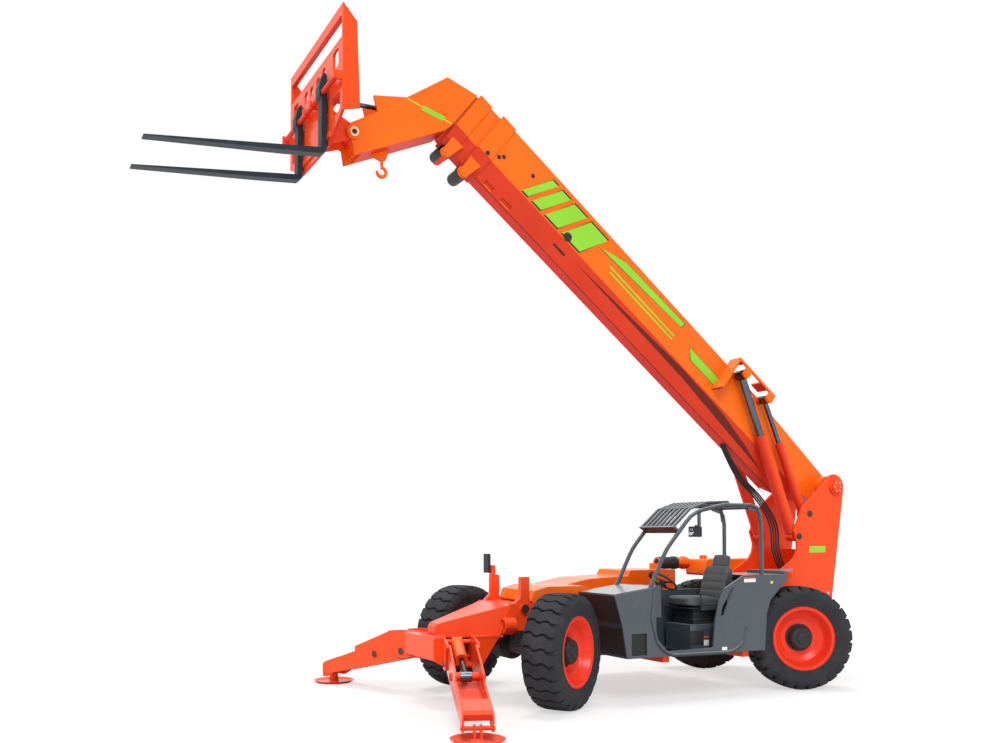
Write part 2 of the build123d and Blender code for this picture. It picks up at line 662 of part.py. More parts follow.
def outrigger_pad():
    """Round dished foot plate with twin ears on the arm's pin."""
    rim_rise = 34
    dish = [
        (0, 0), (pad_r - 45, 0), (pad_r, rim_rise), (pad_r - 14, rim_rise),
        (pad_r - 50, 14), (75, 14), (60, 30), (0, 30),
    ]
    profile = make_face(Plane.XZ * Polyline(*dish, close=True))
    plate = Pos(0, pad_l, 0) * revolve(profile, axis=Axis.Z)
    ear = cross_plate([(pad_l - 50, 12), (pad_l - 30, foot_z + 20), (pad_l, foot_z + 38),
                       (pad_l + 30, foot_z + 20), (pad_l + 50, 12)], 22, 44)
    ears = ear + mirror(ear, about=Plane.YZ)
    bore = rod_x(pad_l, foot_z, 22 + pin_gap, -200, 200)
    return in_splay(plate + ears - bore)


def outrigger_ram():
    """Left ram, modelled in XZ and turned into the arm's plane."""
    barrel, rod = ram_parts(ram_base, ram_foot, 72, 32, 0.55, 58, arm_pin_r, ram_eye_w, 330)
    return in_splay(Rot(0, 0, 90) * barrel), in_splay(Rot(0, 0, 90) * rod)


# ---------------------------------------------------------------- body and cab
def engine_hood():
    """Thin hood over the engine tray, its outer wall louvred, with the air cleaner behind."""
    foot = tray_top_z + running_gap
    wall = 8
    crown = [(900, 1520), (1670, 1520), (1720, 1440), (2350, 1415), (2800, 1330), (2950, 1230)]
    outer = side_plate([(900, foot)] + crown + [(2950, foot)], -1200, -430, radius=25)
    lined = [(900 + wall, 1520 - wall), (1670 - wall, 1520 - wall), (1715, 1440 - wall),
             (2345, 1415 - wall), (2795, 1330 - wall), (2950 - wall, 1230 - wall)]
    inner = side_plate([(900 + wall, foot - 10)] + lined + [(2950 - wall, foot - 10)],
                       -1200 + wall, -430 - wall)
    hood = outer - inner
    for group_x in (1080, 1900):
        for k in range(7):
            z = 900 + 60 * k
            hood = hood - block(group_x, group_x + 620, -1210, -1190, z, z + 26)
    cleaner = rod_x(-850, 1600, 85, 360, 905) + rod_x(-850, 1600, 96, 390, 450)
    cleaner = cleaner + block(820, 1000, -900, -800, 1512, 1600)
    return hood + cleaner


def engine_block():
    return block(1000, 2100, -1050, -560, tray_top_z + running_gap, 1240)


def tank():
    """Long tank on the right of the tower, with its filler neck and two straps."""
    inner_y = -rail_outer_y - tower_plate_t - running_gap
    body = side_plate([(-970, 1420), (-970, 1655), (290, 1655), (330, 1500), (330, 1420)],
                      -900, inner_y, radius=40)
    filler = Pos(120, -760, 1680) * Cylinder(55, 60)
    for x in (-720, -80):
        strap = side_plate([(x, 1414), (x, 1661), (x + 60, 1661), (x + 60, 1414)],
                           -906, inner_y - 20, radius=12)
        body = body + strap
    return body + filler


def front_cover():
    foot = cover_z + running_gap
    half = rail_outer_y - 5
    outer = side_plate([(2650, foot), (2680, 1300), (3000, 1375), (3520, 1375), (3700, 1330),
                        (3760, foot)], -half, half, radius=25)
    inner = side_plate([(2660, foot - 1), (2690, 1292), (3000, 1366), (3520, 1366),
                        (3693, 1323), (3748, foot - 1)], -half + 10, half - 10)
    return outer - inner


def cab_tub():
    """Welded lower cab: floor, curved rear wall, inner wall, seat box and rear shelf."""
    y0, y1 = cab_inner_y, cab_outer_y - 25 - running_gap
    floor = block(880, cowl_rear_x - running_gap, y0, y1, cab_floor_z - 20, cab_floor_z)
    rear_wall = side_plate([
        (860, 550), (860, 900), (640, 1400), (400, 1480), (400, 1500), (1050, 1500),
        (1050, 1480), (660, 1420), (885, 905), (885, 550),
    ], y0, y1)
    inner_wall = block(885, cowl_rear_x - running_gap, y0, y0 + 20, cab_floor_z - 1, 1300)
    seat_box = block(1250, 1850, 560, 1040, cab_floor_z - 1, 890)
    recess = block(1380, 1640, 1030, 1041, 640, 820)
    spring = block(1330, 1750, 620, 980, 889, 1089.5)
    # shelf over the rear wheel: plan as X and Y
    shelf = top_plate([(430, 500), (430, 1185), (110, 1010), (-360, 560), (-360, 500)],
                      1528, 1540)
    riser = block(400, 430, 500, 1185, 1481, 1540)
    return floor + rear_wall + inner_wall + seat_box - recess + spring + shelf + riser


def door_tube():
    """Round tube bent round the door opening, from the hoop's foot to the rear quarter."""
    y = cab_outer_y - 25 + door_tube_r
    route = FilletPolyline((2520, 1370), (2570, 1010), (2480, 690), (2300, 562), (1350, 552),
                           (1170, 640), (1095, 850), radius=110)
    return Pos(0, y, 0) * Rot(90, 0, 0) * bent_tube(route, 24, door_tube_r)


def cab_side():
    """Outer panel: front box side, sill and rear quarter around the door opening."""
    y0, y1 = cab_outer_y - 25, cab_outer_y
    outer = side_plate([
        (800, 550), (760, 1000), (690, 1180), (400, 1440), (400, 1500), (1130, 1500),
        (1430, 1350), (1530, 1190), (1600, 960), (1640, 620), (2330, 610), (2480, 760),
        (2530, 1010), (2500, 1380), (3100, 1300), (2990, 930), (2925, 550),
    ], y0, y1, radius=18)
    handle = side_plate([(1290, 1355), (1345, 1335), (1490, 1100), (1510, 1000),
                         (1470, 1005), (1390, 1150)], y0 - 1, y1 + 1, radius=8)
    step = block(2640, 2860, y0 - 1, y1 + 1, 580, 840)
    return outer - handle - step + door_tube()


def cowl_body(grow=0.0):
    """The front box as one solid, its front wall hollowed around the wheel."""
    y0, y1 = cab_inner_y, cab_outer_y - 25 - running_gap
    arch_low, arch_mid, arch_high = (2920, 550), (2975, 930), (3090, 1290)
    edges = [
        Line((cowl_rear_x, 550), arch_low), ThreePointArc(arch_low, arch_mid, arch_high),
        Line(arch_high, (3090, 1310 + grow)),
        Line((3090, 1310 + grow), (cowl_rear_x, 1390 + grow)),
        Line((cowl_rear_x, 1390 + grow), (cowl_rear_x, 550)),
    ]
    plane = Plane(origin=(0, y1, 0), x_dir=(1, 0, 0), z_dir=(0, -1, 0))
    return extrude(plane * make_face(Wire(edges)), amount=y1 - y0)


def cab_cowl():
    """Front box of the cab with the concave wheel-arch wall and the dash."""
    y0, y1 = cab_inner_y, cab_outer_y - 25 - running_gap
    room = side_plate([(cowl_rear_x - 1, 570), (2895, 570), (2950, 930), (3060, 1290),
                       (cowl_rear_x - 1, 1370)], y0 + 15, y1 - 15)
    dash = block(dash_rear_x, cowl_rear_x + 60, 560, 1000, 1000, 1382)
    return cowl_body() - room + dash


def cab_guard():
    """Two bent hoops with cross pieces, and the roof grille of fore-and-aft slats."""
    hoop_y = (cab_inner_y + 30, cab_outer_y - 54)
    result = None
    for y in hoop_y:
        route = FilletPolyline((2550, 1360), (2300, 1830), (1880, 2290), (1400, 2385),
                               (850, 2385), (785, 2200), (790, 1490),
                               radius=hoop_bend_r)
        hoop = Pos(0, y, 0) * Rot(90, 0, 0) * bent_tube(route, 28, hoop_r)
        result = hoop if result is None else result + hoop
    # cross pieces between the hoops: x, z, radius
    for x, z, radius in [(2090, 2060, 20), (1400, 2380, 20), (850, 2365, 24)]:
        result = result + rod_y(x, z, radius, *hoop_y)
    pitch = (hoop_y[1] - hoop_y[0] - 60) / (roof_bars - 1)
    for k in range(roof_bars):
        y = hoop_y[0] + 30 + k * pitch
        slat = side_plate([(2160, 2095), (1900, 2320), (1640, 2405), (1300, 2420),
                           (1300, 2440), (1650, 2426), (1915, 2340), (2185, 2110)],
                          y - 17, y + 17)
        result = result + slat
    strap = side_plate([(2060, 2045), (2075, 2030), (2195, 2105), (2165, 2120)], *hoop_y)
    rear = block(1300, 1400, *hoop_y, 2385, 2422)
    # corner plates under the rear corners of the hoops, and the work lamp by the left hoop
    for y in hoop_y:
        result = result + side_plate([(810, 2360), (1010, 2365), (990, 2330), (850, 2290),
                                      (830, 2180), (800, 2180)], y - 8, y + 8)
    lamp_y = hoop_y[1] - 75
    lamp = block(1720, 1850, lamp_y - 55, lamp_y + 45, 1985, 2110) \
        + block(1760, 1800, lamp_y, hoop_y[1], 2105, 2130) \
        + block(1760, 1800, hoop_y[1] - 20, hoop_y[1], 2105, 2300)
    result = result + strap + rear + lamp
    result = result - cowl_body(running_gap)
    return result - block(0, 1100, 0, 2000, 1400, 1500 + running_gap)


def seat():
    """Suspension seat: cushion, back with bolsters and a head rest, all rounded."""
    cushion = side_plate([(1200, 1090), (1190, 1200), (1500, 1205), (1840, 1240), (1880, 1170),
                          (1840, 1090)], 560, 1040, radius=30)
    back = side_plate([(1195, 1150), (1060, 1580), (1110, 1620), (1200, 1600), (1365, 1190),
                       (1340, 1150)], 570, 1030, radius=25)
    head = side_plate([(1090, 1570), (1040, 1725), (1075, 1750), (1150, 1740), (1185, 1600),
                       (1160, 1570)], 680, 920, radius=20)
    return cushion + back + head


def steering_wheel():
    """Column with its wheel, a ring of straight sides and three spokes."""
    ring = RegularPolygon(200, 24) - RegularPolygon(176, 24)
    wheel = extrude(ring, amount=24)
    spokes = Box(370, 30, 14, align=(Align.CENTER, Align.CENTER, Align.MIN))
    spoke = Pos(0, -95, 0) * Box(30, 180, 14, align=(Align.CENTER, Align.CENTER, Align.MIN))
    column = Pos(0, 0, -330) * Cylinder(35, 330, align=(Align.CENTER, Align.CENTER, Align.MIN))
    whole = Pos(2080, 800, 1420) * Rot(0, -35, 0) * (wheel + spokes + spoke + column)
    return whole - block(dash_rear_x - running_gap, 2600, 500, 1100, 800, 1400)


def mirror_plate():
    """Mirror head on the right post, a shallow shell around its glass."""
    head = block(3860, 3895, -575, -445, 1520, 1765)
    glass_room = block(3859, 3864, -567, -453, 1530, 1755)
    return head - glass_room


def build():
    lift_barrels, lift_rods = lift_rams()
    slave_barrel, slave_rod = slave_ram()
    tilt_barrel, tilt_rod = tilt_ram()
    arm, pad = outrigger_arm(), outrigger_pad()
    foot_barrel, foot_rod = outrigger_ram()
    nodes = {
        "frame": frame(), "front_axle": axle(wheelbase, -1), "rear_axle": axle(0, 1),
        "tower": tower(), "mirror": mirror_plate(),
        "engine_hood": engine_hood(), "engine_block": engine_block(),
        "tank": tank(), "front_cover": front_cover(),
        "cab_tub": cab_tub(), "cab_side": cab_side(), "cab_cowl": cab_cowl(),
        "cab_guard": cab_guard(), "seat": seat(), "steering_wheel": steering_wheel(),
        "boom_base": boom_base(), "boom_mid": boom_mid(), "boom_fly": boom_fly(),
        "carriage": carriage(), "forks": forks(),
        "lift_barrels": lift_barrels, "lift_rods": lift_rods,
        "slave_barrel": slave_barrel, "slave_rod": slave_rod,
        "tilt_barrel": tilt_barrel, "tilt_rod": tilt_rod,
        "outrigger_arm_l": arm, "outrigger_arm_r": mirrored(arm),
        "outrigger_pad_l": pad, "outrigger_pad_r": mirrored(pad),
        "outrigger_barrel_l": foot_barrel, "outrigger_barrel_r": mirrored(foot_barrel),
        "outrigger_rod_l": foot_rod, "outrigger_rod_r": mirrored(foot_rod),
    }
    for corner in corner_x:
        nodes["tyre_" + corner] = steered(Pos(0, kingpin_to_tyre, 0) * tyre(), corner)
        nodes["rim_" + corner] = steered(Pos(0, kingpin_to_tyre, 0) * rim(), corner)
        nodes["knuckle_" + corner] = steered(knuckle(), corner)
    return nodes


if __name__ == "__main__":
    os.makedirs("parts", exist_ok=True)
    nodes = build()
    boxes = [shape.bounding_box() for shape in nodes.values()]
    middle = (min(b.min.X for b in boxes) + max(b.max.X for b in boxes)) / 2
    print("origin moved along X by", middle)
    for name, shape in nodes.items():
        solids = shape.solids()
        moved = [Pos(-middle, 0, 0) * solid for solid in solids]
        export_step(moved[0] if len(moved) == 1 else Compound(children=moved),
                    "parts/" + name + ".step")
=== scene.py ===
"""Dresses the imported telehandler: finishes, tyres, seat, hoses, bolts, stripes, and a plain studio."""

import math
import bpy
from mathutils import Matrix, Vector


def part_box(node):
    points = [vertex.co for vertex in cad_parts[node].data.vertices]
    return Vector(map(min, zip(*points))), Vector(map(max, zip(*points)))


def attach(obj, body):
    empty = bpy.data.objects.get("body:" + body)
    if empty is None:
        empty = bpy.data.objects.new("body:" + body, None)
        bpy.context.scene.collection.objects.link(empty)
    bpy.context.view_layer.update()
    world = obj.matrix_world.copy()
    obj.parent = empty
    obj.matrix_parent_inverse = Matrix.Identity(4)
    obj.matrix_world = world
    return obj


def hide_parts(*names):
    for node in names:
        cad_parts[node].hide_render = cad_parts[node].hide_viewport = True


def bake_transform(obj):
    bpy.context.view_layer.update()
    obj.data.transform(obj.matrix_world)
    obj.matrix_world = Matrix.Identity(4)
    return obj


bl_info = {
    "name": "Telehandler dressing",
    "version": (1, 0, 0),
    "blender": (4, 5, 0),
    "location": "View3D > Sidebar > Telehandler",
    "description": "Finishes and trim for a telescopic handler, piece by piece, with its studio",
    "category": "Object",
}

import bpy
from mathutils import Matrix, Vector

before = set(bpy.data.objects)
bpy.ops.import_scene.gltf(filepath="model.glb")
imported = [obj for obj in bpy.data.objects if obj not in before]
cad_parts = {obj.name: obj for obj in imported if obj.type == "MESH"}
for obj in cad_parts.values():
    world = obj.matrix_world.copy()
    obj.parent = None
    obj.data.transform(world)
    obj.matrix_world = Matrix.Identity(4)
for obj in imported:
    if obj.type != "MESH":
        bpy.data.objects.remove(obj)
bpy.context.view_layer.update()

# The machine's own datum: the rear axle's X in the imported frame, metres. The frame's
# rear end stands 1.19 m behind that axle.
REAR_AXLE_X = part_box("frame")[0][0] + 1.190
WHEELBASE = 3.87
BOOM_PIVOT = Vector((REAR_AXLE_X - 1.31, 0, 2.70))
BOOM_ANGLE = math.radians(38.6)
WHEEL_REST = {"fl": 32.0, "fr": 21.0, "rl": -22.5, "rr": -22.5}


# ------------------------------------------------------------------ shared steps
def fresh():
    """Nothing selected, object mode."""
    if bpy.context.object and bpy.context.object.mode != "OBJECT":
        bpy.ops.object.mode_set(mode="OBJECT")
    bpy.ops.object.select_all(action="DESELECT")


def only(piece):
    fresh()
    piece.select_set(True)
    bpy.context.view_layer.objects.active = piece


def settle(piece):
    """Write the object's place into its mesh."""
    only(piece)
    bpy.ops.object.transform_apply(location=True, rotation=True, scale=True)
    return piece


def modify(piece, kind, **values):
    """Add one modifier and apply it."""
    only(piece)
    step = piece.modifiers.new(kind.title(), kind)
    for key, value in values.items():
        setattr(step, key, value)
    bpy.ops.object.modifier_apply(modifier=step.name)
    return piece


def rounded(piece, width, segments=2, angle=30):
    return modify(piece, "BEVEL", width=width, segments=segments, limit_method="ANGLE",
                  angle_limit=math.radians(angle))


def smooth(piece, angle=35):
    only(piece)
    bpy.ops.object.shade_smooth_by_angle(angle=math.radians(angle))
    return piece


def recalculate(piece):
    only(piece)
    bpy.ops.object.mode_set(mode="EDIT")
    bpy.ops.mesh.select_all(action="SELECT")
    bpy.ops.mesh.remove_doubles(threshold=0.00005)
    bpy.ops.mesh.normals_make_consistent(inside=False)
    bpy.ops.object.mode_set(mode="OBJECT")
    return piece


def slab(name, outline, depth, place=Matrix.Identity(4)):
    """A flat outline in X and Y, given a thickness along +Z and put at its place."""
    fresh()
    bpy.ops.mesh.primitive_circle_add(vertices=len(outline), radius=1, fill_type="NGON")
    piece = bpy.context.object
    piece.name = name
    for vertex, (x, y) in zip(piece.data.vertices, outline):
        vertex.co = (x, y, 0)
    bpy.ops.object.mode_set(mode="EDIT")
    bpy.ops.mesh.select_all(action="SELECT")
    bpy.ops.mesh.extrude_region_move(TRANSFORM_OT_translate={"value": (0, 0, depth)})
    bpy.ops.mesh.select_all(action="SELECT")
    bpy.ops.mesh.normals_make_consistent(inside=False)
    bpy.ops.object.mode_set(mode="OBJECT")
    piece.data.transform(place)
    return piece


def turned(name, profile, place, steps=48):
    """A profile of (radius, height) pairs spun about the place's Z axis."""
    fresh()
    bpy.ops.mesh.primitive_circle_add(vertices=len(profile), radius=1, fill_type="NOTHING")
    piece = bpy.context.object
    piece.name = name
    for vertex, (radius, height) in zip(piece.data.vertices, profile):
        vertex.co = (radius, 0, height)
    bpy.ops.object.mode_set(mode="EDIT")
    bpy.ops.mesh.select_all(action="SELECT")
    bpy.ops.mesh.spin(steps=steps, angle=math.tau, center=(0, 0, 0), axis=(0, 0, 1))
    bpy.ops.mesh.select_all(action="SELECT")
    bpy.ops.mesh.remove_doubles(threshold=0.0001)
    bpy.ops.mesh.normals_make_consistent(inside=False)
    bpy.ops.object.mode_set(mode="OBJECT")
    piece.data.transform(place)
    return piece


def tube(name, points, radius, sides=6, steps=10):
    """A round hose or bar that follows a smooth line near the points."""
    fresh()
    bpy.ops.curve.primitive_nurbs_path_add()
    line = bpy.context.object
    line.name = name
    line.data.splines.clear()
    spline = line.data.splines.new("NURBS")
    spline.points.add(len(points) - 1)
    for target, point in zip(spline.points, points):
        target.co = (*point, 1)
    spline.order_u = 3
    spline.use_endpoint_u = True
    spline.resolution_u = steps
    line.location = (0, 0, 0)
    line.data.dimensions = "3D"
    line.data.bevel_depth = radius
    line.data.bevel_resolution = sides // 2
    line.data.use_fill_caps = True
    only(line)
    bpy.ops.object.convert(target="MESH")
    return smooth(bpy.context.object, 60)


def copied(piece, place, name=None):
    """A second piece with its own mesh, moved by a matrix."""
    twin = piece.copy()
    twin.data = piece.data.copy()
    if name:
        twin.name = name
    bpy.context.collection.objects.link(twin)
    twin.data.transform(place)
    return twin


def joined(pieces, name):
    fresh()
    for piece in pieces:
        piece.select_set(True)
    bpy.context.view_layer.objects.active = pieces[0]
    if len(pieces) > 1:
        bpy.ops.object.join()
    bpy.context.object.name = name
    return bpy.context.object


def dress(piece, finish, body):
    """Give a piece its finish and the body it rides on."""
    piece.data.materials.clear()
    piece.data.materials.append(bpy.data.materials[finish])
    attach(piece, body)
    return piece


def facing(position, normal, up=(0, 0, 1)):
    """A place whose Z axis looks along normal and whose Y axis leans to up."""
    z = Vector(normal).normalized()
    x = Vector(up).cross(z)
    if x.length < 1e-6:
        x = Vector((1, 0, 0))
    x.normalize()
    y = z.cross(x)
    turn = Matrix((x, y, z)).transposed().to_4x4()
    return Matrix.Translation(Vector(position)) @ turn


def on_boom(s, n, y=0.0):
    """A point given along the boom, square to it and to the left."""
    c, k = math.cos(BOOM_ANGLE), math.sin(BOOM_ANGLE)
    return Vector((BOOM_PIVOT.x + s * c - n * k, y, BOOM_PIVOT.z + s * k + n * c))


def at(x, y, z):
    """A point given in millimetres from the ground under the rear axle's middle."""
    return Vector((REAR_AXLE_X + x / 1000, y / 1000, z / 1000))


def from_rear_axle(x, y, z):
    return Vector((REAR_AXLE_X + x, y, z))


def wheel_place(corner):
    """A place at the wheel's centre whose Z axis points outboard along the axle."""
    side = -1 if corner in ("fr", "rr") else 1
    turn = math.radians(WHEEL_REST[corner])
    kingpin = from_rear_axle(WHEELBASE if corner in ("fl", "fr") else 0, side * 0.82, 0.67)
    outward = Vector((-math.sin(turn), math.cos(turn), 0)) * side
    return facing(kingpin + outward * 0.28, outward)


# ------------------------------------------------------------------ finishes
def put(tree, kind, **values):
    """One node, with its settings and the values of its inputs."""
    node = tree.nodes.new(kind)
    for key, value in values.items():
        if hasattr(node, key):
            setattr(node, key, value)
        else:
            node.inputs[key.replace("_", " ")].default_value = value
    return node


def new_group(name, inputs, outputs):
    """An empty shader node group with named sockets."""
    group = bpy.data.node_groups.new(name, "ShaderNodeTree")
    kinds = {"colour": "NodeSocketColor", "value": "NodeSocketFloat"}
    for label, kind, value in inputs:
        socket = group.interface.new_socket(name=label, in_out="INPUT", socket_type=kinds[kind])
        socket.default_value = value
    for label, kind in outputs:
        group.interface.new_socket(name=label, in_out="OUTPUT", socket_type=kinds[kind])
    return group, put(group, "NodeGroupInput"), put(group, "NodeGroupOutput")


def noise(tree, coordinates, scale, detail=4.0, stretch=None):
    """A noise value over the object, stretched along an axis where asked."""
    texture = put(tree, "ShaderNodeTexNoise", Scale=scale, Detail=detail)
    if stretch:
        mapping = put(tree, "ShaderNodeMapping", Scale=stretch)
        tree.links.new(coordinates, mapping.inputs["Vector"])
        coordinates = mapping.outputs["Vector"]
    tree.links.new(coordinates, texture.inputs["Vector"])
    return texture.outputs["Fac"]


def remap(tree, source, low, high, to_low, to_high):
    node = put(tree, "ShaderNodeMapRange")
    for index, value in zip(range(1, 5), (low, high, to_low, to_high)):
        node.inputs[index].default_value = value
    tree.links.new(source, node.inputs[0])
    return node.outputs[0]


def combine(tree, how, first, second):
    """Arithmetic on two sockets, or on a socket and a number."""
    node = put(tree, "ShaderNodeMath", operation=how)
    for slot, value in zip(node.inputs, (first, second)):
        if isinstance(value, (int, float)):
            slot.default_value = value
        else:
            tree.links.new(value, slot)
    return node.outputs[0]


def blend_colour(tree, factor, first, second, how="MIX"):
    node = put(tree, "ShaderNodeMix", data_type="RGBA", blend_type=how)
    for slot, value in ((node.inputs[0], factor), (node.inputs[6], first), (node.inputs[7], second)):
        if isinstance(value, (int, float, tuple)):
            slot.default_value = value
        else:
            tree.links.new(value, slot)
    return node.outputs[2]


def enamel_group():
    """Sprayed enamel with painted shade below and a painted sky reflection above; a little dust on top,
    faint runs and orange peel.
    """
    group, start, end = new_group(
        "Enamel film",
        [("Upper", "colour", (1, 1, 1, 1)), ("Painted shade", "colour", (1, 1, 1, 1)),
         ("Dust", "value", 0.3), ("Gloss", "value", 0.3),
         ("Painted sky", "value", 0.0)],
        [("Color", "colour"), ("Roughness", "value"), ("Height", "value")])
    where = put(group, "ShaderNodeTexCoord").outputs["Object"]
    normal = put(group, "ShaderNodeNewGeometry").outputs["Normal"]
    split = put(group, "ShaderNodeSeparateXYZ")
    group.links.new(normal, split.inputs[0])
    # painted shade: faces that look down are blended towards the darker, redder second colour
    under = remap(group, split.outputs["Z"], 0.02, -0.40, 0.0, 1.0)
    paint = blend_colour(group, under, start.outputs["Upper"], start.outputs["Painted shade"])
    cloud = remap(group, noise(group, where, 1.3), 0.3, 0.7, 0.93, 1.06)
    paint = blend_colour(group, 1.0, paint, cloud, "MULTIPLY")
    # painted sky reflection: faces that look up are paled towards light grey
    sky = combine(group, "MULTIPLY", remap(group, split.outputs["Z"], 0.55, 0.98, 0.0, 1.0),
                  start.outputs["Painted sky"])
    paint = blend_colour(group, sky, paint, (0.80, 0.80, 0.82, 1))
    runs = remap(group, noise(group, where, 9.0, 3.0, (1.0, 1.0, 0.12)), 0.56, 0.75, 0.0, 1.0)
    patches = remap(group, noise(group, where, 3.1), 0.52, 0.78, 0.0, 1.0)
    upward = remap(group, split.outputs["Z"], 0.2, 1.0, 0.15, 1.0)
    film = combine(group, "MULTIPLY", combine(group, "MULTIPLY", patches, upward),
                   start.outputs["Dust"])
    stain = combine(group, "MULTIPLY", combine(group, "MULTIPLY", runs, 0.35),
                    start.outputs["Dust"])
    film = combine(group, "ADD", film, stain)
    paint = blend_colour(group, film, paint, (0.32, 0.24, 0.17, 1))
    group.links.new(paint, end.inputs["Color"])
    rough = combine(group, "ADD", start.outputs["Gloss"], combine(group, "MULTIPLY", film, 0.5))
    rough = combine(group, "ADD", rough, combine(group, "MULTIPLY", under, 0.35))
    spread = remap(group, noise(group, where, 22.0, 2.0), 0.3, 0.7, -0.03, 0.05)
    group.links.new(combine(group, "ADD", rough, spread), end.inputs["Roughness"])
    peel = combine(group, "MULTIPLY", noise(group, where, 160.0, 2.0), 0.25)
    wave = noise(group, where, 2.6, 1.0)
    group.links.new(combine(group, "ADD", peel, wave), end.inputs["Height"])
    return group


def grime_group():
    """Rubber and bare iron: a mottled body with pale dust that settles in patches."""
    group, start, end = new_group(
        "Grime",
        [("Body", "colour", (0.02, 0.02, 0.02, 1)), ("Dirt", "colour", (0.2, 0.17, 0.13, 1)),
         ("Amount", "value", 0.3), ("Grain", "value", 60.0), ("Rough", "value", 0.6)],
        [("Color", "colour"), ("Roughness", "value"), ("Height", "value")])
    where = put(group, "ShaderNodeTexCoord").outputs["Object"]
    fine = put(group, "ShaderNodeTexNoise", Detail=6.0)
    group.links.new(where, fine.inputs["Vector"])
    group.links.new(start.outputs["Grain"], fine.inputs["Scale"])
    wide = noise(group, where, 4.5, 5.0)
    mask = combine(group, "MULTIPLY", remap(group, wide, 0.42, 0.72, 0.0, 1.0),
                   remap(group, fine.outputs["Fac"], 0.3, 0.65, 0.2, 1.0))
    mask = combine(group, "MULTIPLY", mask, start.outputs["Amount"])
    shade = remap(group, fine.outputs["Fac"], 0.3, 0.7, 0.82, 1.18)
    body = blend_colour(group, 1.0, start.outputs["Body"], shade, "MULTIPLY")
    group.links.new(blend_colour(group, mask, body, start.outputs["Dirt"]), end.inputs["Color"])
    rough = combine(group, "ADD", start.outputs["Rough"], combine(group, "MULTIPLY", mask, 0.3))
    group.links.new(rough, end.inputs["Roughness"])
    group.links.new(fine.outputs["Fac"], end.inputs["Height"])
    return group


def vinyl_group():
    """Upholstery vinyl: fine pebbled grain with paler rubbed high spots."""
    group, start, end = new_group(
        "Vinyl grain",
        [("Body", "colour", (0.02, 0.02, 0.02, 1)), ("Scale", "value", 240.0)],
        [("Color", "colour"), ("Roughness", "value"), ("Height", "value")])
    where = put(group, "ShaderNodeTexCoord").outputs["Object"]
    cells = put(group, "ShaderNodeTexVoronoi", feature="F1")
    group.links.new(where, cells.inputs["Vector"])
    group.links.new(start.outputs["Scale"], cells.inputs["Scale"])
    rub = remap(group, noise(group, where, 6.0), 0.4, 0.7, 0.9, 1.35)
    body = blend_colour(group, 1.0, start.outputs["Body"], rub, "MULTIPLY")
    group.links.new(body, end.inputs["Color"])
    group.links.new(remap(group, cells.outputs["Distance"], 0.0, 0.8, 0.45, 0.62),
                    end.inputs["Roughness"])
    group.links.new(cells.outputs["Distance"], end.inputs["Height"])
    return group


def finish_material(name, group, values, metallic=0.0, bump=0.1, reach=0.002, coat=0.0,
                    specular=0.5, edge=0.0):
    """A Principled material fed by one of the groups."""
    material = bpy.data.materials.new(name)
    material.use_nodes = True
    tree = material.node_tree
    shader = tree.nodes["Principled BSDF"]
    source = put(tree, "ShaderNodeGroup", node_tree=bpy.data.node_groups[group])
    for label, value in values.items():
        source.inputs[label].default_value = value
    tree.links.new(source.outputs["Color"], shader.inputs["Base Color"])
    tree.links.new(source.outputs["Roughness"], shader.inputs["Roughness"])
    relief = put(tree, "ShaderNodeBump", Strength=bump, Distance=reach)
    if edge:
        softened = put(tree, "ShaderNodeBevel", samples=4)
        softened.inputs["Radius"].default_value = edge
        tree.links.new(softened.outputs["Normal"], relief.inputs["Normal"])
    tree.links.new(source.outputs["Height"], relief.inputs["Height"])
    tree.links.new(relief.outputs["Normal"], shader.inputs["Normal"])
    shader.inputs["Metallic"].default_value = metallic
    shader.inputs["Coat Weight"].default_value = coat
    shader.inputs["Coat Roughness"].default_value = 0.06
    shader.inputs["Specular IOR Level"].default_value = specular
    return material


class TelehandlerFinishes(bpy.types.PropertyGroup):
    """Colours of the machine's finishes."""
    enamel: bpy.props.FloatVectorProperty(
        name="Enamel", description="Boom, frame and hood enamel", subtype="COLOR", size=3,
        min=0, max=1, default=(0.92, 0.155, 0.008))
    chassis: bpy.props.FloatVectorProperty(
        name="Chassis enamel", description="Frame, tower and outrigger enamel",
        subtype="COLOR", size=3, min=0, max=1, default=(0.90, 0.075, 0.012))
    # painted shade: the enamel's colour on faces that look down, darker and redder
    enamel_painted_shade: bpy.props.FloatVectorProperty(
        name="Enamel below", description="The same enamel on faces that look down",
        subtype="COLOR", size=3, min=0, max=1, default=(0.60, 0.026, 0.012))
    rim: bpy.props.FloatVectorProperty(
        name="Rims", description="Wheel rim enamel", subtype="COLOR", size=3, min=0, max=1,
        default=(0.83, 0.042, 0.016))
    slate: bpy.props.FloatVectorProperty(
        name="Cab slate", description="Cab panel enamel", subtype="COLOR", size=3, min=0, max=1,
        default=(0.072, 0.094, 0.112))
    stripe: bpy.props.FloatVectorProperty(
        name="Stripe", description="Generic boom stripe", subtype="COLOR", size=3, min=0, max=1,
        default=(0.25, 0.62, 0.02))


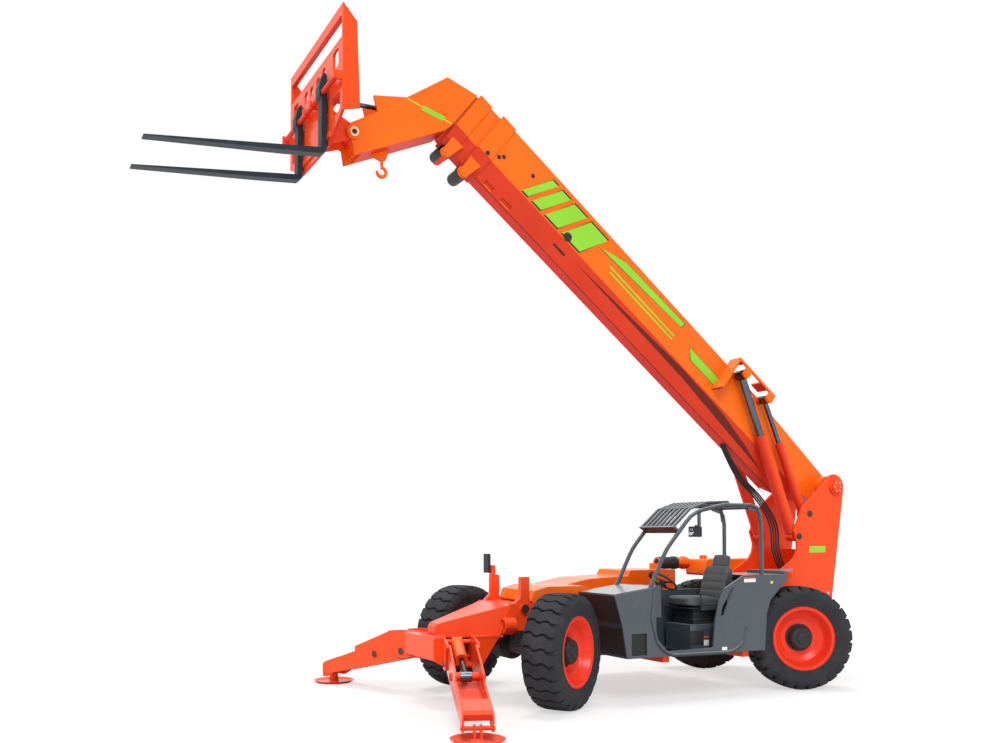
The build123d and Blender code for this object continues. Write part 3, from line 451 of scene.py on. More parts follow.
class TELEHANDLER_OT_finishes(bpy.types.Operator):
    """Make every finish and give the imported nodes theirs"""
    bl_idname = "telehandler.finishes"
    bl_label = "Finishes"

    def execute(self, context):
        colours = context.scene.telehandler_finishes
        enamel_group()
        grime_group()
        vinyl_group()
        # below is the painted shade for faces that look down; each finish's second colour is its painted
        # shade
        orange, below = (*colours.enamel, 1), (*colours.enamel_painted_shade, 1)
        finish_material("boom_enamel", "Enamel film",
                        {"Upper": orange, "Painted shade": below, "Dust": 0.06, "Gloss": 0.22,
                         "Painted sky": 0.10},
                        bump=0.04, coat=0.08, specular=0.14, edge=0.008)
        finish_material("orange_enamel", "Enamel film",
                        {"Upper": (*colours.chassis, 1), "Painted shade": below, "Dust": 0.06,
                         "Gloss": 0.22, "Painted sky": 0.08}, bump=0.04, coat=0.08, specular=0.14, edge=0.008)
        # the cab slate gets dark painted shade below and a strong painted sky reflection, pale on its
        # tops
        finish_material("slate_enamel", "Enamel film",
                        {"Upper": (*(0.82 * c for c in colours.slate), 1),
                         "Painted shade": (0.02, 0.026, 0.032, 1),
                         "Dust": 0.08, "Gloss": 0.28, "Painted sky": 0.38}, bump=0.04, coat=0.35,
                        specular=0.25, edge=0.012)
        finish_material("rim_enamel", "Enamel film",
                        {"Upper": (*colours.rim, 1), "Painted shade": (*colours.rim, 1),
                         "Dust": 0.07, "Gloss": 0.28}, bump=0.04, coat=0.1, specular=0.22)
        finish_material("tyre_rubber", "Grime",
                        {"Body": (0.022, 0.023, 0.028, 1), "Dirt": (0.09, 0.085, 0.08, 1),
                         "Amount": 0.35, "Grain": 70.0, "Rough": 0.68}, bump=0.25, reach=0.004,
                        specular=0.22)
        finish_material("cast_iron", "Grime",
                        {"Body": (0.03, 0.03, 0.033, 1), "Dirt": (0.15, 0.11, 0.08, 1),
                         "Amount": 0.35, "Grain": 120.0, "Rough": 0.5}, metallic=0.35, bump=0.2)
        finish_material("fork_steel", "Grime",
                        {"Body": (0.018, 0.026, 0.036, 1), "Dirt": (0.10, 0.10, 0.10, 1),
                         "Amount": 0.3, "Grain": 90.0, "Rough": 0.46}, metallic=0.1, bump=0.12,
                        specular=0.18)
        finish_material("chromed_rod", "Grime",
                        {"Body": (0.115, 0.13, 0.165, 1), "Dirt": (0.07, 0.078, 0.095, 1),
                         "Amount": 0.15, "Grain": 40.0, "Rough": 0.10}, metallic=1.0, bump=0.01)
        finish_material("black_moulding", "Grime",
                        {"Body": (0.018, 0.019, 0.021, 1), "Dirt": (0.08, 0.08, 0.08, 1),
                         "Amount": 0.2, "Grain": 200.0, "Rough": 0.5}, bump=0.08,
                        specular=0.3)
        finish_material("seat_vinyl", "Vinyl grain", {"Body": (0.008, 0.010, 0.014, 1)},
                        bump=0.3, reach=0.001, specular=0.14)
        finish_material("stripe_film", "Enamel film",
                        {"Upper": (*colours.stripe, 1), "Painted shade": (*colours.stripe, 1),
                         "Dust": 0.06, "Gloss": 0.28}, bump=0.03)
        finish_material("label_film", "Enamel film",
                        {"Upper": (0.78, 0.78, 0.76, 1), "Painted shade": (0.6, 0.6, 0.6, 1),
                         "Dust": 0.12, "Gloss": 0.4}, bump=0.03)
        finish_material("dark_film", "Enamel film",
                        {"Upper": (0.03, 0.012, 0.01, 1), "Painted shade": (0.02, 0.01, 0.01, 1),
                         "Dust": 0.1, "Gloss": 0.4}, bump=0.03)
        finish_material("yellow_film", "Enamel film",
                        {"Upper": (0.75, 0.60, 0.02, 1), "Painted shade": (0.75, 0.60, 0.02, 1),
                         "Dust": 0.08, "Gloss": 0.3}, bump=0.03)
        finish_material("warning_film", "Enamel film",
                        {"Upper": (0.62, 0.11, 0.03, 1), "Painted shade": (0.62, 0.11, 0.03, 1),
                         "Dust": 0.08, "Gloss": 0.35}, bump=0.03)
        finish_material("dark_rubber", "Grime",
                        {"Body": (0.012, 0.012, 0.014, 1), "Dirt": (0.05, 0.05, 0.05, 1),
                         "Amount": 0.2, "Grain": 150.0, "Rough": 0.6}, bump=0.1)
        finish_material("dark_iron", "Grime",
                        {"Body": (0.045, 0.028, 0.024, 1), "Dirt": (0.15, 0.07, 0.05, 1),
                         "Amount": 0.4, "Grain": 150.0, "Rough": 0.45}, metallic=0.4, bump=0.1)
        finish_material("lamp_lens", "Grime",
                        {"Body": (0.55, 0.58, 0.60, 1), "Dirt": (0.35, 0.35, 0.35, 1),
                         "Amount": 0.1, "Grain": 90.0, "Rough": 0.06}, metallic=0.9, bump=0.02,
                        coat=0.6)
        for name, colour in (("shadow_film", (0.14, 0.018, 0.012, 1)),
                             ("ring_film", (0.80, 0.62, 0.36, 1))):
            finish_material(name, "Enamel film", {"Upper": colour, "Painted shade": colour,
                            "Dust": 0.08, "Gloss": 0.4}, bump=0.03, specular=0.2)
        finish_material("zinc_bolt", "Grime",
                        {"Body": (0.42, 0.40, 0.36, 1), "Dirt": (0.15, 0.12, 0.09, 1),
                         "Amount": 0.4, "Grain": 150.0, "Rough": 0.35}, metallic=0.9, bump=0.1)
        by_name = {"tyre": "tyre_rubber", "rim": "rim_enamel", "knuckle": "cast_iron",
                   "cab": "slate_enamel", "engine_block": "cast_iron", "forks": "fork_steel",
                   "front_axle": "cast_iron", "rear_axle": "cast_iron", "seat": "seat_vinyl",
                   "steering_wheel": "black_moulding", "mirror": "black_moulding",
                   "outrigger_barrel": "boom_enamel"}
        for node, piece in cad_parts.items():
            finish = "orange_enamel"
            for start, choice in by_name.items():
                if node.startswith(start):
                    finish = choice
            if "_rod" in node:
                finish = "chromed_rod"
            if node.startswith("boom_") or node in ("engine_hood", "tank", "front_cover"):
                finish = "boom_enamel"
            for slot in piece.material_slots:
                slot.material = bpy.data.materials[finish]
        return {"FINISHED"}


# ------------------------------------------------------------------ wheels
TYRE_R = 0.670
TYRE_HALF = 0.230
LUGS = 26


def carcass():
    """The tyre's body under its lugs: crown, shoulders, bulged sidewalls and beads."""
    half = [(0.634, 0.0), (0.633, 0.10), (0.628, 0.165), (0.612, 0.200), (0.585, 0.219),
            (0.560, 0.224), (0.556, 0.229), (0.520, 0.230), (0.514, 0.226), (0.470, 0.221),
            (0.444, 0.213), (0.440, 0.217), (0.420, 0.212), (0.408, 0.200), (0.3950, 0.186)]
    profile = [(r, -z) for r, z in reversed(half[1:])] + half
    return turned("carcass", profile, Matrix.Identity(4), steps=72)


def lug():
    """One broad lug that waves right across the tread and runs down both shoulders."""
    fresh()
    bpy.ops.mesh.primitive_cube_add(size=2)
    piece = bpy.context.object
    bpy.ops.object.mode_set(mode="EDIT")
    bpy.ops.mesh.select_all(action="SELECT")
    bpy.ops.mesh.subdivide(number_cuts=9)
    bpy.ops.object.mode_set(mode="OBJECT")
    pitch = math.tau * 0.65 / LUGS
    for vertex in piece.data.vertices:
        x, y, z = vertex.co
        drop = max(0.0, (abs(x) - 0.74) / 0.26)
        top = TYRE_R - 0.0015 - 0.011 * x * x - 0.082 * drop ** 1.6
        radius = top - 0.050 * (1 - z) / 2
        half = pitch / 2 - 0.0105 - 0.010 * x * x - 0.013 * drop - 0.003 * z
        around = 0.020 * math.cos(math.pi * 2.6 * x + 0.7) + 0.030 * x + y * half
        outboard = x * 0.233 - math.copysign(0.004 * drop * drop, x)
        angle = around / 0.65
        vertex.co = (radius * math.cos(angle), radius * math.sin(angle), outboard)
    recalculate(piece)
    return rounded(piece, 0.005, 2, 40)


def tyre_body():
    """Carcass with its ring of lugs."""
    first = lug()
    parts = [carcass()]
    for k in range(LUGS):
        parts.append(copied(first, Matrix.Rotation(math.tau * k / LUGS, 4, "Z"), f"lug_{k}"))
    bpy.data.objects.remove(first)
    return smooth(joined(parts, "tyre_body"), 40)


def rim_body():
    """Dished wheel: rolled flanges, a drop barrel and a flat disc."""
    profile = [
        (0.100, -0.060), (0.300, -0.060), (0.326, -0.072), (0.350, -0.130), (0.3640, -0.190),
        (0.3720, -0.202), (0.4000, -0.204), (0.4060, -0.212), (0.4120, -0.206), (0.4080, -0.197),
        (0.3945, -0.190), (0.3945, 0.190), (0.4080, 0.197), (0.4120, 0.206), (0.4060, 0.212),
        (0.4000, 0.204), (0.3720, 0.202), (0.3640, 0.190), (0.3560, 0.150), (0.3500, 0.142),
        (0.3420, 0.100), (0.3240, 0.062), (0.3000, 0.046), (0.2450, 0.036), (0.2380, 0.030),
        (0.1000, 0.030),
    ]
    return smooth(turned("rim_body", profile, Matrix.Identity(4), steps=64), 40)


def hub_body():
    """Planetary hub: flange, ribbed drum and end plate."""
    profile = [
        (0.000, -0.055), (0.150, -0.055), (0.150, 0.028), (0.178, 0.030), (0.178, 0.046),
        (0.150, 0.050), (0.1480, 0.066), (0.1520, 0.070), (0.1520, 0.084), (0.1480, 0.088),
        (0.1450, 0.108), (0.1370, 0.136), (0.1290, 0.143), (0.0700, 0.146), (0.0660, 0.158),
        (0.0400, 0.164), (0.000, 0.165),
    ]
    return smooth(turned("hub_body", profile, Matrix.Identity(4), steps=48), 35)


def bolt(name, radius, height):
    """Hexagon head on a washer, standing on Z = 0."""
    washer = turned(name + "_washer", [(0.0, 0.0), (radius * 1.45, 0.0), (radius * 1.45,
                    height * 0.18), (radius * 1.3, height * 0.25), (0.0, height * 0.25)],
                    Matrix.Identity(4), steps=16)
    corners = [(radius * math.cos(math.tau * k / 6), radius * math.sin(math.tau * k / 6))
               for k in range(6)]
    head = slab(name + "_head", corners, height * 0.8, Matrix.Translation((0, 0, height * 0.2)))
    rounded(head, radius * 0.12, 1)
    return joined([head, washer], name)


def bolts(name, places, radius, height, body, finish="zinc_bolt"):
    """One piece made of a bolt at each place."""
    first = bolt(name + "_one", radius, height)
    row = [copied(first, place) for place in places]
    bpy.data.objects.remove(first)
    return dress(joined(row, name), finish, body)


def ring_of(place, count, radius, height, start=0.0):
    """Places round a circle on a place's XY plane."""
    return [place @ Matrix.Rotation(start + math.tau * k / count, 4, "Z")
            @ Matrix.Translation((radius, 0, height)) for k in range(count)]


class TELEHANDLER_OT_wheels(bpy.types.Operator):
    """Tyres with lugs, round rims, hubs and wheel nuts"""
    bl_idname = "telehandler.wheels"
    bl_label = "Wheels"

    def execute(self, context):
        tyre, rim, hub = tyre_body(), rim_body(), hub_body()
        for corner in WHEEL_REST:
            place = wheel_place(corner)
            body = "wheel_" + corner
            shod = dress(copied(tyre, place, "tyre_dressed_" + corner), "tyre_rubber", body)
            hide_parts("tyre_" + corner)
            disc = dress(copied(rim, place, "rim_dressed_" + corner), "rim_enamel", body)
            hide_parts("rim_" + corner)
            dress(copied(hub, place, "hub_" + corner), "black_moulding", body)
            bolts("nuts_" + corner, ring_of(place, 12, 0.165, 0.047), 0.010, 0.016, body,
                  "dark_iron")
            bolts("hub_bolts_" + corner, ring_of(place, 12, 0.108, 0.144, 0.1), 0.009, 0.011,
                  body, "dark_iron")
        for piece in (tyre, rim, hub):
            bpy.data.objects.remove(piece)
        return {"FINISHED"}


# ------------------------------------------------------------------ cab
def pad(name, size, crown, seams, place):
    """A crowned closed cushion: size is across, along and through, and its sewn channels
    lie across it at the given shares of its length."""
    fresh()
    bpy.ops.mesh.primitive_cube_add(size=2)
    piece = bpy.context.object
    piece.name = name
    bpy.ops.object.mode_set(mode="EDIT")
    bpy.ops.mesh.select_all(action="SELECT")
    bpy.ops.mesh.subdivide(number_cuts=23)
    bpy.ops.object.mode_set(mode="OBJECT")
    half = [value / 2 for value in size]
    for vertex in piece.data.vertices:
        x, y, z = vertex.co
        share = (abs(x) ** 5 + abs(y) ** 5 + abs(z) ** 5) ** 0.2
        x, y, z = x / share, y / share, z / share
        bulge = (1 - x * x) * (1 - y * y)
        pull = 1 - 0.035 * (1 - y * y) * (1 - abs(z))
        lift = crown * bulge * max(z, 0.0)
        bolster = 0.022 * max(0.0, (abs(x) - 0.62) / 0.38) * max(z, 0.0)
        for seam in seams:
            lift -= 0.011 * math.exp(-((y - seam) / 0.055) ** 2) * max(z, 0.0) * (1 - x ** 8)
        lift -= 0.008 * math.exp(-((abs(x) - 0.62) / 0.045) ** 2) * max(z, 0.0)
        vertex.co = (x * half[0] * pull, y * half[1], z * half[2] + lift + bolster)
    modify(piece, "SUBSURF", levels=1)
    smooth(piece, 80)
    piece.data.transform(place)
    dress(piece, "seat_vinyl", "chassis")
    return piece


def label(name, corner_a, corner_b, y, finish="label_film", body="chassis", side=1):
    """A blank film on an upright side face, between two corners given as X and Z."""
    x0, x1 = sorted((corner_a[0], corner_b[0]))
    z0, z1 = sorted((corner_a[1], corner_b[1]))
    outline = [(-side * x0 / 1000, z0 / 1000), (-side * x1 / 1000, z0 / 1000),
               (-side * x1 / 1000, z1 / 1000), (-side * x0 / 1000, z1 / 1000)]
    place = facing(at(0, side * y, 0), (0, side, 0))
    film = slab(name, outline, 0.0012, place)
    return dress(film, finish, body)


def lever(name, foot, knob, radius=0.007):
    """A thin control lever with a rubber gaiter and a round knob."""
    rod = tube(name + "_rod", [foot, foot.lerp(knob, 0.5) + Vector((0.006, 0, 0)), knob], radius)
    ball = turned(name + "_knob", [(0.0, -0.02), (0.012, -0.018), (0.021, -0.004), (0.022, 0.008),
                                   (0.015, 0.021), (0.0, 0.025)],
                  facing(knob, knob - foot, (0, 1, 0)), steps=16)
    boot = turned(name + "_boot", [(0.0, 0.0), (0.036, 0.0), (0.036, 0.008), (0.026, 0.014),
                                   (0.028, 0.022), (0.018, 0.03), (0.019, 0.04), (0.009, 0.055),
                                   (0.0, 0.055)],
                  facing(foot, knob - foot, (0, 1, 0)), steps=20)
    return dress(smooth(joined([rod, ball, boot], name), 50), "black_moulding", "chassis")


def steering():
    """Steering wheel: padded rim, three dished spokes, hub and raked column."""
    lean = math.radians(-35)
    place = Matrix.Translation(at(2080, 800, 1420)) @ Matrix.Rotation(lean, 4, "Y")
    fresh()
    bpy.ops.mesh.primitive_torus_add(major_radius=0.184, minor_radius=0.0145,
                                     major_segments=64, minor_segments=16,
                                     location=(0, 0, 0.012))
    ring = settle(bpy.context.object)
    parts = [ring]
    for turn in (90, 210, 330):
        spoke = slab("spoke", [(0.03, -0.024), (0.10, -0.014), (0.176, -0.020), (0.176, 0.020),
                               (0.10, 0.014), (0.03, 0.024)], 0.007)
        rounded(spoke, 0.002, 2)
        spoke.data.transform(Matrix.Rotation(math.radians(turn), 4, "Z"))
        parts.append(spoke)
    parts.append(turned("wheel_hub", [(0, -0.03), (0.036, -0.03), (0.046, -0.006), (0.046, 0.010),
                                      (0.036, 0.020), (0.0, 0.022)], Matrix.Identity(4), 32))
    parts.append(turned("column", [(0, -0.10), (0.034, -0.10), (0.034, -0.045), (0.027, -0.034),
                                   (0.026, -0.02), (0, -0.02)], Matrix.Identity(4), 32))
    wheel = smooth(joined(parts, "steering_dressed"), 40)
    wheel.data.transform(place)
    return dress(wheel, "black_moulding", "chassis")


class TELEHANDLER_OT_cab(bpy.types.Operator):
    """Seat, controls, dark arch sheet, step, lamp and blank labels"""
    bl_idname = "telehandler.cab"
    bl_label = "Cab"

    def execute(self, context):
        level = facing(at(1530, 800, 1158), (-0.05, 0, 1), (-1, 0, 0))
        cushion = pad("seat_cushion", (0.480, 0.680, 0.120), 0.022, (-0.1, 0.45), level)
        rake = facing(at(1218, 800, 1385), (0.96, 0, 0.28), (0, 0, 1))
        pad("seat_back", (0.460, 0.460, 0.115), 0.020, (-0.45, 0.0, 0.45), rake)
        crest = facing(at(1122, 800, 1662), (0.96, 0, 0.28), (0, 0, 1))
        pad("seat_headrest", (0.250, 0.175, 0.085), 0.012, (), crest)
        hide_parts("seat")
        pan = slab("seat_pan", [(-0.245, -0.335), (0.245, -0.335), (0.245, 0.30), (-0.245, 0.30)],
                   0.012, facing(at(1530, 800, 1090), (0, 0, 1), (-1, 0, 0)))
        dress(rounded(pan, 0.004), "black_moulding", "chassis")
        folds = []
        for k in range(5):
            grow = 0.012 if k % 2 else 0.0
            x, y = 0.216 + grow, 0.186 + grow
            fold = slab("fold", [(-x, -y), (x, -y), (x, y), (-x, y)], 0.038,
                        Matrix.Translation(at(1540, 800, 891 + 39.6 * k)))
            folds.append(rounded(fold, 0.012, 3))
        bellows = smooth(joined(folds, "seat_bellows"), 40)
        dress(bellows, "black_moulding", "chassis")

        wheel = steering()
        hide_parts("steering_wheel")
        lever("lever_lift", at(1690, 1085, 1120), at(1720, 1090, 1270))
        lever("lever_drive", at(2085, 690, 1300), at(2010, 600, 1372), 0.005)
        console = slab("arm_console", [(-0.16, -0.035), (0.14, -0.035), (0.17, 0.0), (0.14, 0.035),
                                       (-0.16, 0.035)], 0.05,
                       facing(at(1560, 1085, 1070), (0, 0, 1), (0, 1, 0)))
        dress(smooth(rounded(console, 0.012, 3), 40), "black_moulding", "chassis")
        pedals = []
        for y in (640, 800, 930):
            pedal = slab("pedal", [(-0.045, -0.06), (0.045, -0.06), (0.045, 0.06),
                                   (-0.045, 0.06)], 0.012,
                         facing(at(2330, y, 690), (-0.8, 0, 0.6)))
            pedals.append(rounded(pedal, 0.005))
            pedals.append(tube("pedal_arm", [at(2335, y, 690), at(2400, y, 720),
                                             at(2470, y, 800)], 0.009))
        dress(joined(pedals, "pedals"), "black_moulding", "chassis")
        mat_plate = slab("floor_mat", [(0.02, -0.34), (0.58, -0.34), (0.58, 0.34), (0.02, 0.34)],
                         0.006, Matrix.Translation(at(1870, 815, 570.5)))
        ribs = [mat_plate]
        for k in range(14):
            x = 0.05 + 0.04 * k
            ribs.append(slab("mat_rib", [(x, -0.32), (x + 0.014, -0.32), (x + 0.014, 0.32),
                                         (x, 0.32)], 0.010,
                             Matrix.Translation(at(1870, 815, 570.5))))
        dress(joined(ribs, "floor_mat"), "black_moulding", "chassis")

        # dark sheet on the hollow wall behind the front wheel, a little proud of it
        arch = [(2915, 552), (2970, 932), (3030, 1130), (3086, 1290)]
        outer = [(x + 3.2, z) for x, z in reversed(arch)]
        outline = [(x / 1000, z / 1000) for x, z in arch + outer]
        arch_sheet = slab("wheel_arch_dark_sheet", outline, 0.740,
                     Matrix.Translation(Vector((REAR_AXLE_X, 1.186, 0)))
                     @ Matrix.Rotation(math.radians(90), 4, "X"))
        dress(arch_sheet, "black_moulding", "chassis")
        tread = [slab("step_back", [(-2.645, 0.585), (-2.855, 0.585), (-2.855, 0.835),
                                    (-2.645, 0.835)], 0.006,
                      facing(at(0, 1189.8, 0), (0, 1, 0)))]
        for k in range(5):
            z = 0.605 + 0.045 * k
            tread.append(slab("step_bar", [(-2.655, z), (-2.845, z), (-2.845, z + 0.014),
                                           (-2.655, z + 0.014)], 0.014,
                              facing(at(0, 1189.8, 0), (0, 1, 0))))
        dress(joined(tread, "step_recess"), "black_moulding", "chassis")

        panel = label("seat_box_panel", (1640, 640), (1850, 820), 1040.5, "dark_rubber")
        panel.name = "seat_box_panel"
        label("seat_box_label", (1560, 630), (1640, 700), 1041.0)
        label("seat_box_label_upper", (1560, 720), (1640, 745), 1041.0, "warning_film")
        label("sill_label", (1420, 582), (1500, 622), 1215.4)
        label("quarter_label", (940, 1412), (1130, 1470), 1215.4)
        label("quarter_dot", (650, 1385), (690, 1420), 1215.4, "yellow_film")
        label("quarter_label_band", (940, 1455), (1130, 1470), 1215.8, "warning_film")
        dash = slab("dash_label", [(-0.085, -0.045), (0.085, -0.045), (0.085, 0.045),
                                   (-0.085, 0.045)], 0.0015,
                    facing(at(2259.5, 900, 1300), (-1, 0, 0)))
        dress(dash, "label_film", "chassis")
        roof = slab("roof_label", [(-0.08, -0.055), (0.08, -0.055), (0.08, 0.055), (-0.08, 0.055)],
                    0.002, facing(at(2040, 900, 2203), (0.66, 0, 0.75), (-0.75, 0, 0.66)))
        dress(roof, "label_film", "chassis")

        # work lamp: black shell with a clear front face
        lamp = slab("work_lamp", [(-0.058, -0.065), (0.058, -0.065), (0.058, 0.065),
                                  (-0.058, 0.065)], 0.134,
                    facing(at(1718, 1081, 2048), (1, 0, 0)))
        dress(smooth(rounded(lamp, 0.016, 3), 40), "black_moulding", "chassis")
        lens = turned("work_lamp_lens", [(0, 0), (0.05, 0), (0.05, 0.003), (0.03, 0.007),
                                         (0, 0.009)], facing(at(1851, 1081, 2048), (1, 0, 0)), 32)
        dress(smooth(lens, 50), "lamp_lens", "chassis")
        glass = slab("mirror_glass", [(-0.055, -0.11), (0.055, -0.11), (0.055, 0.11),
                                      (-0.055, 0.11)], 0.002,
                     facing(at(3863.5, -510, 1642), (-1, 0, 0)))
        dress(glass, "lamp_lens", "chassis")
        return {"FINISHED"}


# ------------------------------------------------------------------ boom
def boom_film(name, outline, finish, body="boom_base", lift=0.0, y=0.217):
    """A film on both sides of the boom, its outline given along and square to it."""
    films = []
    for side in (1, -1):
        place = facing(on_boom(0, 0, side * (y + 0.0006 + lift)), (0, side, 0),
                       on_boom(0, 1) - on_boom(0, 0))
        points = [(-side * s / 1000, n / 1000) for s, n in outline]
        films.append(slab(name, points, 0.0012, place))
    return dress(joined(films, name), finish, body)


def chamfer_film(name, outline, finish):
    """A film on both of the boom's lower sloping faces: along the boom, and down the slope."""
    down = Vector((0, -0.132, -0.260)).normalized()
    films = []
    for side in (1, -1):
        square = on_boom(0, 1) - on_boom(0, 0)
        slope = Vector((0, side, 0)) * down.y + square * down.z
        out = Vector((0, side, 0)) * 0.8917 - square * 0.4527
        place = facing(on_boom(0, -0.350, side * 0.217) + out * 0.0008, out, -slope)
        points = [(-side * s / 1000, -d / 1000) for s, d in outline]
        films.append(slab(name, points, 0.0012, place))
    return dress(joined(films, name), finish, "boom_base")


def outlined(name, outline, centre, body="boom_base", finish="stripe_film", y=0.217):
    """A stripe-coloured shape with a thin dark border."""
    boom_film(name + "_edge", outline, "dark_film", body, 0.0, y)
    inner = [(s + (centre[0] - s) * 0.035 * min(1, 300 / max(1, abs(centre[0] - s))),
              n + (centre[1] - n) * 0.10) for s, n in outline]
    boom_film(name, inner, finish, body, 0.0009, y)


def sleeve(name, s, n, radius, half_w, body):
    """A dark roller cover round a cross shaft under the boom."""
    profile = [(radius - 0.003, -half_w), (radius + 0.002, -half_w), (radius + 0.004, -half_w
               + 0.008), (radius + 0.004, half_w - 0.008), (radius + 0.002, half_w),
               (radius - 0.003, half_w)]
    piece = turned(name, profile, facing(on_boom(s, n), (0, 1, 0)), 40)
    return dress(smooth(piece, 40), "black_moulding", body)


class TELEHANDLER_OT_boom(bpy.types.Operator):
    """Stripes, shadow strip, rollers, bolts and hoses of the boom"""
    bl_idname = "telehandler.boom"
    bl_label = "Boom"

    def execute(self, context):
        # painted shadow: a dark strip above the chamfer where the side inset lies in shade, and a thin
        # dark line along the chamfer's lower edge
        chamfer_film("side_shadow_strip", [
            (5080, 98), (3900, 52), (2970, 19), (2300, 26), (2005, 42), (1500, 105), (1013, 195),
            (1500, 174), (2004, 150), (2911, 106), (3825, 101)], "shadow_film")
        chamfer_film("lower_edge_shadow", [(6900, 281), (600, 281), (600, 290), (6900, 290)], "shadow_film")

        # generic livery: slanted bars, a long wedge with twin pin lines, one plain bar
        start, slant = 6230, 230
        for k, wide in enumerate((110, 170, 250, 350)):
            bar = [(start, -330), (start - wide, -330), (start - wide - slant, 150),
                   (start - slant, 150)]
            outlined(f"bar_{k}", bar, (start - (wide + slant) / 2, -90))
            start -= wide + 70
        outlined("wedge", [(4950, -40), (4560, 110), (3330, 150), (3330, 60)], (4000, 70))
        for k, n in enumerate((-130, -190)):
            boom_film(f"pin_line_{k}", [(4700 - 60 * k, n), (3360, n), (3360, n + 22),
                                        (4700 - 60 * k, n + 22)], "stripe_film")
        outlined("plain_bar", [(3080, -50), (2960, -190), (2330, -190), (2330, -50)],
                 (2690, -120))

        # the head: pin line over the bent neck with a small blank plate
        boom_film("neck_line", [(7995, -612), (7418, -401), (7418, -383), (7995, -594)],
                  "yellow_film", "boom_fly", 0.0, 0.200)
        boom_film("neck_plate", [(7790, -570), (7520, -462), (7520, -392), (7790, -500)],
                  "stripe_film", "boom_fly", 0.0009, 0.200)

        sleeve("roller_cover_base", 6.925, -0.712, 0.078, 0.148, "boom_base")
        sleeve("roller_cover_mid", 7.270, -0.690, 0.070, 0.133, "boom_mid")

        for side, tag in ((1, "l"), (-1, "r")):
            spots = [(6.859, -0.320, 0.239), (6.717, -0.228, 0.2175), (6.670, -0.174, 0.2175),
                     (6.235, -0.048, 0.2175)]
            places = [facing(on_boom(s, n, side * y), (0, side, 0)) for s, n, y in spots]
            bolts("collar_bolts_" + tag, places, 0.020, 0.016, "boom_base", "dark_iron")
            disc = turned("angle_pointer_" + tag, [(0, 0), (0.056, 0), (0.060, 0.006),
                          (0.056, 0.014), (0.02, 0.018), (0, 0.018)],
                          facing(on_boom(5.388, -0.290, side * 0.2175), (0, side, 0)), 32)
            dress(smooth(disc, 40), "black_moulding", "boom_base")
            pin = turned("carriage_pin_ring_" + tag, [(0.030, 0), (0.058, 0), (0.058, 0.008),
                         (0.052, 0.012), (0.034, 0.012), (0.030, 0.006)],
                         facing(on_boom(8.188, -1.444, side * 0.2255), (0, side, 0)), 32)
            dress(smooth(pin, 40), "ring_film", "boom_fly")
            eye = turned("carriage_pin_eye_" + tag, [(0, 0), (0.031, 0), (0.031, 0.004),
                         (0, 0.006)],
                         facing(on_boom(8.188, -1.444, side * 0.2258), (0, side, 0)), 24)
            dress(eye, "dark_rubber", "boom_fly")
        chamfer_film("slot_shadow", [(5256, 122), (5469, 122), (5469, 152), (5256, 152)],
                     "dark_film")

        # hydraulic hoses from under the boom down between the tower's plates
        for k in range(4):
            y = 4 + 27 * k
            back = 18 * k
            route = [on_boom(1.72, -0.624, y / 1000), on_boom(1.56, -0.70, y / 1000),
                     at(120 - back, y, 2780), at(-140 - back, y, 2600),
                     at(-400 - back, y, 2310), at(-500 - back, y, 2080),
                     at(-490 - back, y, 1810), at(-600 - back, y, 1540),
                     at(-760 - back, y, 1342)]
            hose = tube(f"tower_hose_{k}", route, 0.012, steps=14)
            hose.data.materials.clear()
            hose.data.materials.append(bpy.data.materials["black_moulding"])
            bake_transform(hose)
        return {"FINISHED"}


# ------------------------------------------------------------------ chassis
def out_arm(side, l, z):
    """A point in an outrigger's upright plane: out along the arm, and up."""
    splay = math.radians(20)
    return at(4594 + l * math.sin(splay), side * l * math.cos(splay), z)


